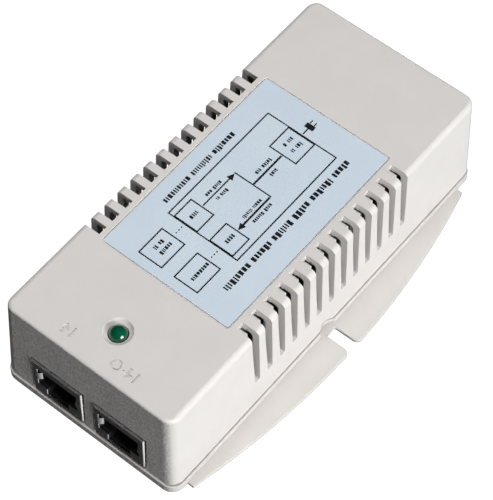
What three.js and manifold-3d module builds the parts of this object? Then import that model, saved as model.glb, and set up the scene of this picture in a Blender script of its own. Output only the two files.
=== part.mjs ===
// Power-over-Ethernet injector: a two-part plastic case with two shielded network jacks on the
// front end, a mains inlet on the back end, side vents, a status lamp, a top label and wall ears.
// Millimetres. +Z is up, +Y runs from the network jacks to the mains inlet, and the origin is the
// middle of the base.

import * as THREE from 'three';
import { mergeVertices } from 'three/addons/utils/BufferGeometryUtils.js';
import Module from 'manifold-3d';

const wasm = await Module();
wasm.setup();

// ---------------------------------------------------------------- driving dimensions

const GAP = 0.3;                 // clearance kept between neighbouring pieces

const CASE = {
  width: 52.4, length: 120, height: 32.6,   // outer size at the very top
  flare: 1.1,                    // how far each wall leans out from top to base
  cornerRadius: 3.2, topRadius: 1.5,
  wall: 1.8, roof: 1.8,
};

const BASE = {
  seam: 2.6,                     // height of the joint between the two shells
  ledge: 0.3,                    // how far the lower shell stands proud of the upper one
  floor: 1.2, rim: 2.1, lip: 1.0, lipHeight: 1.6, edgeRadius: 0.3,
};

const EAR = {
  y: -1.2, halfLength: 55.3, reach: 36.0, tipReach: 29.4, thickness: 1.3,
  slotWidth: 3.4, slotEnd: 28.5, mouthRadius: 1.7,
  scallopRadius: 3.8, scallopX: 29.9, scallopTop: 10.2,
};

const VENT = {
  count: 13, pitch: 4.88, width: 2.65, innerX: 21.3, bottomZ: 12.8,
  slopeRun: 1.25, slopeDepth: 0.85,         // slope down the side nearest the jacks, right row only
};

const LABEL = { width: 38.8, length: 63.0, y: 0.2, thickness: 0.2, recess: 0.45, margin: 0.35 };

const LAMP = { x: 0.1, y: -48.4, radius: 2.5, flangeRadius: 2.9, domeTop: 33.5, length: 8.6,
  recessRadius: 3.6, recessDepth: 0.9, leadSpacing: 2.54, leadWidth: 0.5 };

const MARK = { y: -55.5, inX: -10.4, outX: 8.8, depth: 0.25 };

const BOARD = { width: 47, length: 113.4, thickness: 1.6, top: 3.4 };

const JACK = {
  centres: { in: -9.7, out: 9.9 },
  width: 16.2, height: 13.0, depth: 16.6, sheet: 0.4, proud: 0.2,
  plugWidth: 12.0, plugTop: 10.3, plugBottom: 3.4, plugDepth: 12.6,
  latchWidth: 6.4, latchFloor: 0.9,
  fingerLow: 5.0, fingerHigh: 8.6, fingerRoom: 0.3, fingerLength: 3.2,
  contacts: 8, contactPitch: 1.02, contactWidth: 0.46, contactThickness: 0.34,
  contactLength: 8.2, contactTilt: 22, contactSetback: 3.6, contactBend: 0.45,
};

const INLET = {
  z: 16.6, flangeWidth: 30.8, flangeHeight: 24.0, flangeThickness: 1.6,
  bodyWidth: 27.4, bodyHeight: 19.8, bodyDepth: 16.6,
  mouthWidth: 24.4, mouthHeight: 16.4, mouthDepth: 15.0, mouthChamfer: 4.2,
  pinSpacing: 14.0, pinRaise: 4.0, pinWidth: 2.0, pinHeight: 4.0, pinSetback: 1.6, tabLength: 4.2,
};

const SCREW = { x: 22.0, y: 53.4, bossRadius: 3.0, headRadius: 2.6, shankRadius: 1.4,
  padRadius: 3.7, headDepth: 1.7, top: 18, webThickness: 1.5, bossFoot: 4.8,
  crossWidth: 0.7, crossLength: 3.2, crossDepth: 0.8, underside: 0.4 };

const HEAT_SINK = { height: 22, plate: 1.6, finDepth: 3.2, finWidth: 1.0, finPitch: 4.0 };

const DEVICE = { width: 10, bottom: 5, mouldTop: 13.5, tabTop: 19, mouldDepth: 4.2, tabDepth: 1.2,
  leadPitch: 2.54, leadHalfX: 0.35, leadHalfY: 0.45, holeRadius: 1.7, holeZ: 16.4 };

const DECK = BOARD.top + GAP;    // underside of everything that stands on the board

// ---------------------------------------------------------------- materials

function finish(color, roughness, metalness = 0) {
  return new THREE.MeshStandardMaterial({ color, roughness, metalness });
}

const PLASTIC = finish(0xdedad4, 0.5);
const PAPER = finish(0xc6d4df, 0.35);
const LENS = finish(0x0c6b3a, 0.12);
const STEEL = finish(0xb9bab8, 0.28, 1);
const BLACK = finish(0x17181a, 0.5);
const GOLD = finish(0xd9b45a, 0.25, 1);
const BRASS = finish(0xc9b26c, 0.3, 1);
const LAMINATE = finish(0x2f6a3c, 0.5);
const FERRITE = finish(0x35353a, 0.7);
const TAPE = finish(0xd9b23c, 0.45);
const COPPER = finish(0xb5673a, 0.3, 1);
const ALUMINIUM = finish(0xa9abad, 0.35, 1);
const SLEEVE = finish(0x1f2733, 0.4);
const EPOXY = finish(0x202122, 0.45);
const GLASS = finish(0xe6eaea, 0.1);
const CERAMIC = finish(0x2f6fa8, 0.4);
const BOX_CAP = finish(0xd8b400, 0.4);

// ---------------------------------------------------------------- solids and shapes

function toSolid(geometry) {
  const bare = geometry.clone();
  bare.deleteAttribute('normal');
  bare.deleteAttribute('uv');
  const merged = mergeVertices(bare, 1e-4);
  return new wasm.Manifold(new wasm.Mesh({
    numProp: 3,
    vertProperties: new Float32Array(merged.attributes.position.array),
    triVerts: new Uint32Array(merged.index.array),
  }));
}

function toGeometry(solid) {
  const mesh = solid.getMesh();
  const geometry = new THREE.BufferGeometry();
  geometry.setAttribute('position', new THREE.BufferAttribute(new Float32Array(mesh.vertProperties), 3));
  geometry.setIndex(new THREE.BufferAttribute(new Uint32Array(mesh.triVerts), 1));
  geometry.computeVertexNormals();
  return geometry;
}

function join(...solids) {
  return solids.reduce((sum, solid) => sum.add(solid));
}

function cut(solid, ...cutters) {
  return cutters.reduce((rest, cutter) => rest.subtract(cutter), solid);
}

// A box from its lowest to its highest corner.
function box(low, high) {
  const size = high.map((value, axis) => value - low[axis]);
  const geometry = new THREE.BoxGeometry(...size);
  geometry.translate(...low.map((value, axis) => value + size[axis] / 2));
  return toSolid(geometry);
}

// An upright round bar between two heights.
function bar(x, y, radius, bottom, top, sides = 24) {
  const geometry = new THREE.CylinderGeometry(radius, radius, top - bottom, sides);
  geometry.rotateX(Math.PI / 2);
  geometry.translate(x, y, (bottom + top) / 2);
  return toSolid(geometry);
}

function arcPoints(x, y, radius, from, to, steps) {
  const points = [];
  for (let step = 0; step <= steps; step += 1) {
    const angle = THREE.MathUtils.degToRad(from + (to - from) * step / steps);
    points.push(new THREE.Vector2(x + radius * Math.cos(angle), y + radius * Math.sin(angle)));
  }
  return points;
}

// A rectangle with round corners, centred on the origin.
function roundedRectangle(width, length, radius, steps = 6) {
  const x = width / 2 - radius;
  const y = length / 2 - radius;
  return new THREE.Shape([
    ...arcPoints(x, -y, radius, -90, 0, steps),
    ...arcPoints(x, y, radius, 0, 90, steps),
    ...arcPoints(-x, y, radius, 90, 180, steps),
    ...arcPoints(-x, -y, radius, 180, 270, steps),
  ]);
}

function polygon(points) {
  return new THREE.Shape(points.map(([x, y]) => new THREE.Vector2(x, y)));
}

// A flat outline raised from one height to another.
function raise(shape, bottom, top) {
  const geometry = new THREE.ExtrudeGeometry(shape, { depth: top - bottom, bevelEnabled: false });
  geometry.translate(0, 0, bottom);
  return toSolid(geometry);
}

// An outline drawn in X and Z, extruded along Y. A slope narrows it towards both ends: it draws the
// outline in by slope.depth over slope.run.
function extrudeAlongY(shape, yLow, yHigh, slope = { run: 0, depth: 0 }) {
  const geometry = new THREE.ExtrudeGeometry(shape, {
    depth: yHigh - yLow - 2 * slope.run, bevelEnabled: slope.run > 0,
    bevelThickness: slope.run, bevelSize: slope.depth, bevelOffset: -slope.depth, bevelSegments: 1,
  });
  geometry.rotateX(Math.PI / 2);
  geometry.translate(0, yHigh - slope.run, 0);
  return toSolid(geometry);
}

// An outline drawn in Y and Z, extruded along X.
function extrudeAlongX(shape, xLow, xHigh) {
  const geometry = new THREE.ExtrudeGeometry(shape, { depth: xHigh - xLow, bevelEnabled: false });
  geometry.rotateX(Math.PI / 2);
  geometry.rotateZ(Math.PI / 2);
  geometry.translate(xLow, 0, 0);
  return toSolid(geometry);
}

const assembly = new THREE.Group();

function addPiece(name, solid, material) {
  const mesh = new THREE.Mesh(toGeometry(solid), material);
  mesh.name = name;
  assembly.add(mesh);
  return mesh;
}

// ---------------------------------------------------------------- case

// How far a wall has leaned out at a height, against its place at the top.
function leanAt(z) {
  return CASE.flare * (CASE.height - z) / CASE.height;
}

// The case's block, drawn in by inset and closed at top, with its walls leaning out downwards.
function caseBlock(inset, top, bottom, edgeRadius, edgeSteps) {
  const radius = CASE.cornerRadius - Math.min(inset, CASE.cornerRadius - 1);
  const outline = roundedRectangle(CASE.width - 2 * inset, CASE.length - 2 * inset, radius, 7);
  const geometry = new THREE.ExtrudeGeometry(outline, {
    depth: top - bottom, bevelEnabled: true, bevelThickness: edgeRadius,
    bevelSize: edgeRadius, bevelOffset: -edgeRadius, bevelSegments: edgeSteps,
  });
  geometry.translate(0, 0, bottom - edgeRadius);
  const position = geometry.attributes.position;
  for (let index = 0; index < position.count; index += 1) {
    const lean = leanAt(position.getZ(index));
    position.setX(index, position.getX(index) + Math.sign(position.getX(index)) * lean);
    position.setY(index, position.getY(index) + Math.sign(position.getY(index)) * lean);
  }
  return toSolid(geometry);
}

// Section of one side vent, from outside the case to a depth below its skin: it runs in from the
// roof over the round top edge and down the wall, and both ends slope by bevel.
function ventSection(depth, bevel) {
  const reach = CASE.width / 2;
  const turnX = reach - CASE.topRadius;
  const turnZ = CASE.height - CASE.topRadius;
  const inner = Math.max(CASE.topRadius - depth, 0.05);
  const wallAt = (z) => reach + leanAt(z) - depth;
  const slack = depth > CASE.topRadius ? depth - CASE.topRadius : 0;
  return new THREE.Shape([
    new THREE.Vector2(VENT.innerX, CASE.height - depth),
    ...arcPoints(turnX - slack, turnZ - slack, inner, 90, 0, 4),
    new THREE.Vector2(wallAt(VENT.bottomZ), VENT.bottomZ),
    new THREE.Vector2(wallAt(VENT.bottomZ) + depth, VENT.bottomZ - bevel),
    new THREE.Vector2(reach + 4, VENT.bottomZ - bevel),
    new THREE.Vector2(reach + 4, CASE.height + 2),
    new THREE.Vector2(VENT.innerX - bevel, CASE.height + 2),
    new THREE.Vector2(VENT.innerX - bevel, CASE.height),
  ].reverse());
}

// Both rows of side vents. A slot of the right row is narrow where it goes through, with a slope
// down to it on the side nearest the jacks and a square face on the other. The left row is square.
function ventCutters() {
  const through = ventSection(4, 0);
  const mouth = ventSection(VENT.slopeDepth, 0);
  const slope = { run: VENT.slopeRun, depth: VENT.slopeDepth };
  const rightRow = [];
  const leftRow = [];
  for (let index = 0; index < VENT.count; index += 1) {
    const y = (index - (VENT.count - 1) / 2) * VENT.pitch;
    const low = y - VENT.width / 2;
    const high = y + VENT.width / 2;
    const beyond = box([0, high, 0], [40, high + VENT.pitch, 40]);
    rightRow.push(extrudeAlongY(through, low + VENT.slopeRun, high));
    rightRow.push(cut(extrudeAlongY(mouth, low, high + 2 * VENT.slopeRun, slope), beyond));
    leftRow.push(extrudeAlongY(through, low, high).mirror([1, 0, 0]));
  }
  return join(...rightRow, ...leftRow);
}

// Screwdriver clearance scooped out of a side wall above an ear's slot.
function scallop(side) {
  const domeHeight = 1.3 * EAR.scallopRadius;
  const shoulder = EAR.scallopTop - domeHeight;
  const dome = new THREE.SphereGeometry(EAR.scallopRadius, 24, 12);
  dome.rotateX(Math.PI / 2);
  dome.scale(1, 1, domeHeight / EAR.scallopRadius);
  dome.translate(side * EAR.scallopX, EAR.y, shoulder);
  const shaft = bar(side * EAR.scallopX, EAR.y, EAR.scallopRadius, EAR.thickness, shoulder);
  return toSolid(dome).add(shaft);
}

// A small arrow cut into the roof above a jack: it points out of the case or into it.
function arrowMark(x, outwards) {
  const turn = outwards ? -1 : 1;
  const outline = [[0, 1.6], [1.7, -0.1], [0.6, -0.1], [0.6, -1.6], [-0.6, -1.6], [-0.6, -0.1], [-1.7, -0.1]];
  const shape = polygon(outline.map(([u, v]) => [x + turn * u, MARK.y + turn * v]));
  return raise(shape, CASE.height - MARK.depth, CASE.height + 1);
}

function makeUpperShell() {
  const bottom = BASE.seam + GAP;
  const outer = caseBlock(0, CASE.height, -4, CASE.topRadius, 5);
  const inner = caseBlock(CASE.wall, CASE.height - CASE.roof, -6, 0.5, 1);
  const below = box([-40, -80, -20], [40, 80, bottom]);
  let shell = cut(outer, inner);

  const bossTop = CASE.height - CASE.roof + 0.5;
  for (const [sx, sy] of [[1, 1], [1, -1], [-1, 1], [-1, -1]]) {
    const x = sx * SCREW.x;
    const y = sy * SCREW.y;
    const halfWeb = SCREW.webThickness / 2;
    const web = box(
      [Math.min(x, sx * 26), y - halfWeb, 12], [Math.max(x, sx * 26), y + halfWeb, bossTop]);
    shell = join(shell, bar(x, y, SCREW.bossRadius, SCREW.bossFoot, bossTop), web);
    shell = cut(shell, bar(x, y, SCREW.shankRadius + GAP, 2, SCREW.top + 1));
  }

  const labelPocket = roundedRectangle(
    LABEL.width + 2 * LABEL.margin, LABEL.length + 2 * LABEL.margin, 0.8, 3);
  const pocketFloor = CASE.height - LABEL.recess;
  const pocket = raise(labelPocket, pocketFloor, CASE.height + 2).translate([0, LABEL.y, 0]);

  const frontWall = [-CASE.length / 2 - 4, -CASE.length / 2 + CASE.wall + 1];
  const ports = Object.values(JACK.centres).map((x) => {
    const half = JACK.width / 2 + GAP;
    return box([x - half, frontWall[0], 0],
      [x + half, frontWall[1], BOARD.top + GAP + JACK.height + GAP]);
  });
  const inletHole = box(
    [-INLET.bodyWidth / 2 - GAP, CASE.length / 2 - 4, INLET.z - INLET.bodyHeight / 2 - GAP],
    [INLET.bodyWidth / 2 + GAP, CASE.length / 2 + 4, INLET.z + INLET.bodyHeight / 2 + GAP]);

  const lampHole = join(
    bar(LAMP.x, LAMP.y, LAMP.radius + GAP, 25, 40, 40),
    bar(LAMP.x, LAMP.y, LAMP.recessRadius, CASE.height - LAMP.recessDepth, 40, 40));

  return cut(shell, below, ventCutters(), pocket, ...ports, inletHole, lampHole,
    scallop(1), scallop(-1), arrowMark(MARK.inX, false), arrowMark(MARK.outX, true));
}

// Outline of one wall ear seen from above: a shallow arc along the side with a slot at its middle
// that opens outwards, between two round-cornered tabs.
function earOutline() {
  const sag = EAR.reach - EAR.tipReach;
  const radius = (EAR.halfLength ** 2 + sag ** 2) / (2 * sag);
  const centreX = EAR.reach - radius;
  const tipAngle = THREE.MathUtils.radToDeg(Math.asin(EAR.halfLength / radius));
  const half = EAR.slotWidth / 2;
  const mouth = EAR.mouthRadius;
  const mouthX = centreX + Math.sqrt(radius ** 2 - (half + mouth) ** 2) - mouth;
  const tabAngle = THREE.MathUtils.radToDeg(Math.asin((half + mouth) / radius));
  return new THREE.Shape([
    new THREE.Vector2(CASE.width / 2 - 2, EAR.y - EAR.halfLength),
    ...arcPoints(centreX, EAR.y, radius, -tipAngle, -tabAngle, 14),
    ...arcPoints(mouthX, EAR.y - half - mouth, mouth, 15, 90, 4),
    new THREE.Vector2(EAR.slotEnd, EAR.y - half),
    new THREE.Vector2(EAR.slotEnd, EAR.y + half),
    ...arcPoints(mouthX, EAR.y + half + mouth, mouth, -90, -15, 4),
    ...arcPoints(centreX, EAR.y, radius, tabAngle, tipAngle, 14),
    new THREE.Vector2(CASE.width / 2 - 2, EAR.y + EAR.halfLength),
  ]);
}

function makeLowerShell() {
  const reach = CASE.flare + BASE.ledge;
  const outline = roundedRectangle(
    CASE.width + 2 * reach, CASE.length + 2 * reach, CASE.cornerRadius + 0.6, 7);
  const plate = new THREE.ExtrudeGeometry(outline, {
    depth: BASE.seam - 2 * BASE.edgeRadius, bevelEnabled: true, bevelThickness: BASE.edgeRadius,
    bevelSize: BASE.edgeRadius, bevelOffset: -BASE.edgeRadius, bevelSegments: 2,
  });
  plate.translate(0, 0, BASE.edgeRadius);
  const hollow = roundedRectangle(
    CASE.width + 2 * (reach - BASE.rim), CASE.length + 2 * (reach - BASE.rim), 1.6, 3);
  const lipReach = CASE.flare - CASE.wall - GAP;
  const lipOuter = roundedRectangle(CASE.width + 2 * lipReach, CASE.length + 2 * lipReach, 1.4, 3);
  const lipInner = roundedRectangle(
    CASE.width + 2 * (lipReach - BASE.lip), CASE.length + 2 * (lipReach - BASE.lip), 0.8, 3);

  let shell = cut(toSolid(plate), raise(hollow, BASE.floor, BASE.seam + 1));
  shell = shell.add(cut(
    raise(lipOuter, BASE.floor - 0.4, BASE.seam + BASE.lipHeight),
    raise(lipInner, BASE.floor - 1, BASE.seam + BASE.lipHeight + 1)));

  const right = raise(earOutline(), 0, EAR.thickness);
  shell = join(shell, right, right.translate([0, -2 * EAR.y, 0]).rotate([0, 0, 180]));

  // Windows in the lip where the jacks and the inlet pass it, and notches for the upper bosses.
  const lipTop = BASE.seam + BASE.lipHeight + 1;
  for (const x of Object.values(JACK.centres)) {
    const half = JACK.width / 2 + GAP;
    shell = cut(shell, box([x - half, -CASE.length / 2 - 3, BASE.seam + 0.5],
      [x + half, -CASE.length / 2 + 6, lipTop]));
  }
  for (const [sx, sy] of [[1, 1], [1, -1], [-1, 1], [-1, -1]]) {
    const x = sx * SCREW.x;
    const y = sy * SCREW.y;
    shell = cut(shell, box([x - 4, y - 4, BASE.seam + 0.6], [x + 4, y + 4, lipTop]));
    const lipEdge = [sx * (CASE.width / 2 + lipReach), sx * 40].sort((a, b) => a - b);
    const pad = cut(bar(x, y, SCREW.padRadius, 0.6, 4.4),
      box([lipEdge[0], y - 5, BASE.seam], [lipEdge[1], y + 5, 6]));
    shell = shell.add(pad);
    shell = cut(shell,
      bar(x, y, SCREW.headRadius + GAP, -1, SCREW.headDepth + 0.5),
      bar(x, y, SCREW.shankRadius + GAP, -1, 6));
  }

  // Rests for the circuit board, clear of the solder side.
  for (const [x, y] of [[0, -38], [0, 38], [-20, 0], [20, 0]]) {
    shell = shell.add(bar(x, y, 1.8, BASE.floor - 0.4, BOARD.top - BOARD.thickness - GAP, 12));
  }
  return cut(shell, scallop(1), scallop(-1));
}

function addCaseScrews() {
  const corners = { front_left: [-1, -1], front_right: [1, -1], back_left: [-1, 1], back_right: [1, 1] };
  for (const [corner, [sx, sy]] of Object.entries(corners)) {
    const x = sx * SCREW.x;
    const y = sy * SCREW.y;
    const head = bar(x, y, SCREW.headRadius, SCREW.underside, SCREW.headDepth + 0.2, 20);
    const shank = bar(x, y, SCREW.shankRadius, 1, SCREW.top, 12);
    const wide = SCREW.crossLength / 2;
    const thin = SCREW.crossWidth / 2;
    const depth = SCREW.underside + SCREW.crossDepth;
    const cross = join(
      box([x - wide, y - thin, -1], [x + wide, y + thin, depth]),
      box([x - thin, y - wide, -1], [x + thin, y + wide, depth]));
    addPiece(`case_screw_${corner}`, cut(join(head, shank), cross), STEEL);
  }
}

// ---------------------------------------------------------------- label and lamp

function makeLabel() {
  const low = CASE.height - LABEL.recess + 0.2;
  return raise(roundedRectangle(LABEL.width, LABEL.length, 0.6, 3), low, low + LABEL.thickness)
    .translate([0, LABEL.y, 0]);
}

function makeLampLens() {
  const dome = LAMP.domeTop - LAMP.radius;
  const foot = LAMP.domeTop - LAMP.length;
  const profile = [
    new THREE.Vector2(0, foot),
    new THREE.Vector2(LAMP.flangeRadius, foot),
    new THREE.Vector2(LAMP.flangeRadius, foot + 1),
    new THREE.Vector2(LAMP.radius, foot + 1),
    ...arcPoints(0, dome, LAMP.radius, 0, 90, 8),
  ];
  profile[profile.length - 1].x = 0;
  const geometry = new THREE.LatheGeometry(profile, 32);
  geometry.rotateX(Math.PI / 2);
  geometry.translate(LAMP.x, LAMP.y, 0);
  return toSolid(geometry);
}

function addLamp() {
  addPiece('lamp_lens', makeLampLens(), LENS);
  const foot = LAMP.domeTop - LAMP.length - GAP;
  const sides = { anode: 1, cathode: -1 };
  for (const [lead, side] of Object.entries(sides)) {
    const x = LAMP.x + side * LAMP.leadSpacing / 2;
    const half = LAMP.leadWidth / 2;
    // Each lead drops from the lens, steps back behind the jacks and goes down to the board.
    const back = 6.4;
    const path = polygon([
      [LAMP.y - half, foot], [LAMP.y - half, foot - 4 - half], [LAMP.y + back - half, foot - 4 - half],
      [LAMP.y + back - half, BOARD.top + GAP], [LAMP.y + back + half, BOARD.top + GAP],
      [LAMP.y + back + half, foot - 4 + half], [LAMP.y + half, foot - 4 + half], [LAMP.y + half, foot],
    ]);
    addPiece(`lamp_lead_${lead}`, extrudeAlongX(path, x - half, x + half), STEEL);
  }
}

// ---------------------------------------------------------------- network jacks

const JACK_FRONT = -CASE.length / 2 - leanAt(DECK) - JACK.proud;

// Section of the space a network plug needs, in X and Z above the jack's floor.
function plugOutline(grow) {
  const half = JACK.plugWidth / 2 + grow;
  const latch = JACK.latchWidth / 2 + grow;
  return [
    [-half, JACK.plugBottom - grow], [-latch, JACK.plugBottom - grow], [-latch, JACK.latchFloor - grow],
    [latch, JACK.latchFloor - grow], [latch, JACK.plugBottom - grow], [half, JACK.plugBottom - grow],
    [half, JACK.plugTop + grow], [-half, JACK.plugTop + grow],
  ];
}

function plugSpace(x, yLow, yHigh, grow) {
  const outline = polygon(plugOutline(grow).map(([u, v]) => [x + u, DECK + v]));
  return extrudeAlongY(outline, yLow, yHigh);
}

// Folded tinplate shell round a jack: open at the back, with a rim round the plug opening and a
// bent grounding finger on each side of it.
function makeJackShield(x) {
  const half = JACK.width / 2;
  const back = JACK_FRONT + JACK.depth;
  const skin = JACK.sheet;
  const outer = box([x - half, JACK_FRONT, DECK], [x + half, back, DECK + JACK.height]);
  const inner = box([x - half + skin, JACK_FRONT + skin, DECK + skin],
    [x + half - skin, back + 1, DECK + JACK.height - skin]);
  let shield = cut(outer, inner, plugSpace(x, JACK_FRONT - 1, JACK_FRONT + skin + 0.5, 0.25));
  for (const side of [-1, 1]) {
    // From above: the finger starts on the rim, bends inwards and runs back along the plug's side.
    const root = x + side * (JACK.plugWidth / 2 + 0.25 + JACK.fingerRoom);
    const finger = [[0, 0], [0.9, 0], [0.62, JACK.fingerLength], [0.3, JACK.fingerLength],
      [0.5, skin], [0, skin]].map(([u, v]) => new THREE.Vector2(root - side * u, JACK_FRONT + v));
    const outline = new THREE.Shape(side < 0 ? finger : finger.reverse());
    shield = shield.add(raise(outline, DECK + JACK.fingerLow, DECK + JACK.fingerHigh));
  }
  return shield;
}

// Moulded insulator inside the shield, hollowed for the plug, with rails that guide the latch.
function makeJackInsert(x) {
  const inset = JACK.sheet + GAP;
  const half = JACK.width / 2 - inset;
  const front = JACK_FRONT + inset;
  const back = JACK_FRONT + JACK.depth - 0.4;
  const block = box([x - half, front, DECK + inset],
    [x + half, back, DECK + JACK.height - inset]);
  const roomHalf = JACK.plugWidth / 2 + 0.7;
  const fingerRoom = box(
    [x - roomHalf, front - 1, DECK + JACK.fingerLow - GAP],
    [x + roomHalf, JACK_FRONT + JACK.fingerLength + 0.5, DECK + JACK.fingerHigh + GAP]);
  return cut(block, plugSpace(x, front - 1, front + JACK.plugDepth, 0), fingerRoom);
}

// One gilt contact spring: a short bend at the front and a long arm sloping back and down.
function makeContact(x) {
  const tilt = THREE.MathUtils.degToRad(JACK.contactTilt);
  const half = JACK.contactThickness / 2;
  const y = JACK_FRONT + JACK.contactSetback;
  const z = DECK + JACK.plugTop - GAP - half - JACK.contactBend;
  const along = new THREE.Vector2(Math.cos(tilt), -Math.sin(tilt));
  const across = new THREE.Vector2(Math.sin(tilt), Math.cos(tilt)).multiplyScalar(half);
  const start = new THREE.Vector2(y, z);
  const end = start.clone().addScaledVector(along, JACK.contactLength);
  const outline = new THREE.Shape([
    ...arcPoints(y, z, JACK.contactBend + half, 90, 200, 5),
    start.clone().sub(across),
    end.clone().sub(across),
    end.clone().addScaledVector(along, 0.15),
    end.clone().add(across),
    start.clone().addScaledVector(along, 0.7).add(across),
  ]);
  return extrudeAlongX(outline, x - JACK.contactWidth / 2, x + JACK.contactWidth / 2);
}

function addJack(port, x) {
  addPiece(`jack_shield_${port}`, makeJackShield(x), STEEL);
  addPiece(`jack_insert_${port}`, makeJackInsert(x), BLACK);
  for (let index = 0; index < JACK.contacts; index += 1) {
    const offset = (index - (JACK.contacts - 1) / 2) * JACK.contactPitch;
    addPiece(`contact_${port}_${index + 1}`, makeContact(x + offset), GOLD);
  }
}

// ---------------------------------------------------------------- mains inlet

// Three-pin appliance inlet: a hollow body whose face is flush with the back wall, held by a
// flange just inside the wall.
function addInlet() {
  const face = CASE.length / 2 + leanAt(INLET.z);
  const backY = face - INLET.bodyDepth;
  const centre = INLET.z;

  const flangeY = face - CASE.wall - INLET.flangeThickness - 2 * GAP;
  const flange = extrudeAlongY(roundedRectangle(INLET.flangeWidth, INLET.flangeHeight, 2.4, 4),
    flangeY, flangeY + INLET.flangeThickness);
  const halfBody = [INLET.bodyWidth / 2, INLET.bodyHeight / 2];
  const body = box([-halfBody[0], backY, -halfBody[1]], [halfBody[0], face, halfBody[1]]);
  const halfMouth = [INLET.mouthWidth / 2, INLET.mouthHeight / 2];
  const corner = INLET.mouthChamfer;
  const mouth = extrudeAlongY(polygon([
    [-halfMouth[0], -halfMouth[1]], [halfMouth[0], -halfMouth[1]],
    [halfMouth[0], halfMouth[1] - corner], [halfMouth[0] - corner, halfMouth[1]],
    [-halfMouth[0] + corner, halfMouth[1]], [-halfMouth[0], halfMouth[1] - corner],
  ]), face - INLET.mouthDepth, face + 1);

  const pins = {
    line: [-INLET.pinSpacing / 2, -INLET.pinRaise / 2],
    neutral: [INLET.pinSpacing / 2, -INLET.pinRaise / 2],
    earth: [0, INLET.pinRaise / 2],
  };
  let housing = cut(join(flange, body), mouth);
  for (const [name, [x, z]] of Object.entries(pins)) {
    const halfX = INLET.pinWidth / 2;
    const halfZ = INLET.pinHeight / 2;
    const tip = face - INLET.pinSetback;
    housing = cut(housing, box([x - halfX - GAP, backY - 1, z - halfZ - GAP],
      [x + halfX + GAP, face - INLET.mouthDepth + 1, z + halfZ + GAP]));
    const blade = polygon([
      [x - halfX, backY - INLET.tabLength], [x + halfX, backY - INLET.tabLength],
      [x + halfX, tip - 1.2], [x + halfX - 0.6, tip], [x - halfX + 0.6, tip], [x - halfX, tip - 1.2],
    ]);
    addPiece(`inlet_pin_${name}`, raise(blade, centre + z - halfZ, centre + z + halfZ), BRASS);
  }
  addPiece('inlet_body', housing.translate([0, 0, centre]), BLACK);
}

// ---------------------------------------------------------------- circuit board and its parts

function makeBoard() {
  const board = raise(roundedRectangle(BOARD.width, BOARD.length, 0.8, 2),
    BOARD.top - BOARD.thickness, BOARD.top);
  const room = SCREW.padRadius + GAP;
  const notches = [[1, 1], [1, -1], [-1, 1], [-1, -1]].map(([sx, sy]) => {
    const x = [sx * (SCREW.x - room), sx * 40].sort((a, b) => a - b);
    const y = [sy * (SCREW.y - room), sy * 80].sort((a, b) => a - b);
    return box([x[0], y[0], 0], [x[1], y[1], 10]);
  });
  return cut(board, ...notches);
}

function standingBlock(x, y, width, length, height) {
  return box([x - width / 2, y - length / 2, DECK], [x + width / 2, y + length / 2, DECK + height]);
}

// Upright aluminium capacitor in a sleeve, with its rolled groove and scored top.
function makeCapacitor(x, y, radius, height) {
  const groove = DECK + 2.2;
  const top = DECK + height;
  const profile = [
    [0, DECK], [radius - 0.4, DECK], [radius, DECK + 0.5], [radius, groove - 0.5],
    [radius - 0.4, groove], [radius, groove + 0.5], [radius, top - 0.5], [radius - 0.5, top], [0, top],
  ].map(([u, v]) => new THREE.Vector2(u, v));
  const geometry = new THREE.LatheGeometry(profile, 28);
  geometry.rotateX(Math.PI / 2);
  geometry.translate(x, y, 0);
  const score = join(
    box([x - radius * 0.6, y - 0.2, top - 0.3], [x + radius * 0.6, y + 0.2, top + 1]),
    box([x - 0.2, y - radius * 0.6, top - 0.3], [x + 0.2, y + radius * 0.6, top + 1]));
  return cut(toSolid(geometry), score);
}

// Flyback transformer: a ferrite core that closes round a wound bobbin.
function addTransformer(x, y) {
  const core = { width: 26, length: 11, height: 20, leg: 4, centre: 8 };
  const low = DECK + 1.6;
  const high = low + core.height;
  const frame = box([x - core.width / 2, y - core.length / 2, low],
    [x + core.width / 2, y + core.length / 2, high]);
  const window = (side) => {
    const edges = [side * core.centre / 2, side * (core.width / 2 - core.leg)].sort((a, b) => a - b);
    return box([x + edges[0], y - 20, low + core.leg], [x + edges[1], y + 20, high - core.leg]);
  };
  addPiece('transformer_core', cut(frame, window(1), window(-1)), FERRITE);

  // The bobbin and winding are open rings round the centre leg.
  const ring = (outerX, outerY, bottom, top, insideX, insideY) => cut(
    box([x - outerX, y - outerY, bottom], [x + outerX, y + outerY, top]),
    box([x - insideX, y - insideY, bottom - 1], [x + insideX, y + insideY, top + 1]));
  const innerX = core.centre / 2 + GAP;
  const innerY = core.length / 2 + GAP;
  const outerX = core.width / 2 - core.leg - GAP;
  const bottom = low + core.leg + GAP;
  const top = high - core.leg - GAP;
  const bobbin = join(
    ring(innerX + 0.8, innerY + 0.8, bottom, top, innerX, innerY),
    ring(outerX, innerY + 5, bottom, bottom + 0.9, innerX, innerY),
    ring(outerX, innerY + 5, top - 0.9, top, innerX, innerY));
  addPiece('transformer_bobbin', bobbin, BLACK);
  addPiece('transformer_winding', ring(outerX - 0.2, innerY + 4.4, bottom + 0.9 + GAP,
    top - 0.9 - GAP, innerX + 0.8 + GAP, innerY + 0.8 + GAP), TAPE);
}

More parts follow.
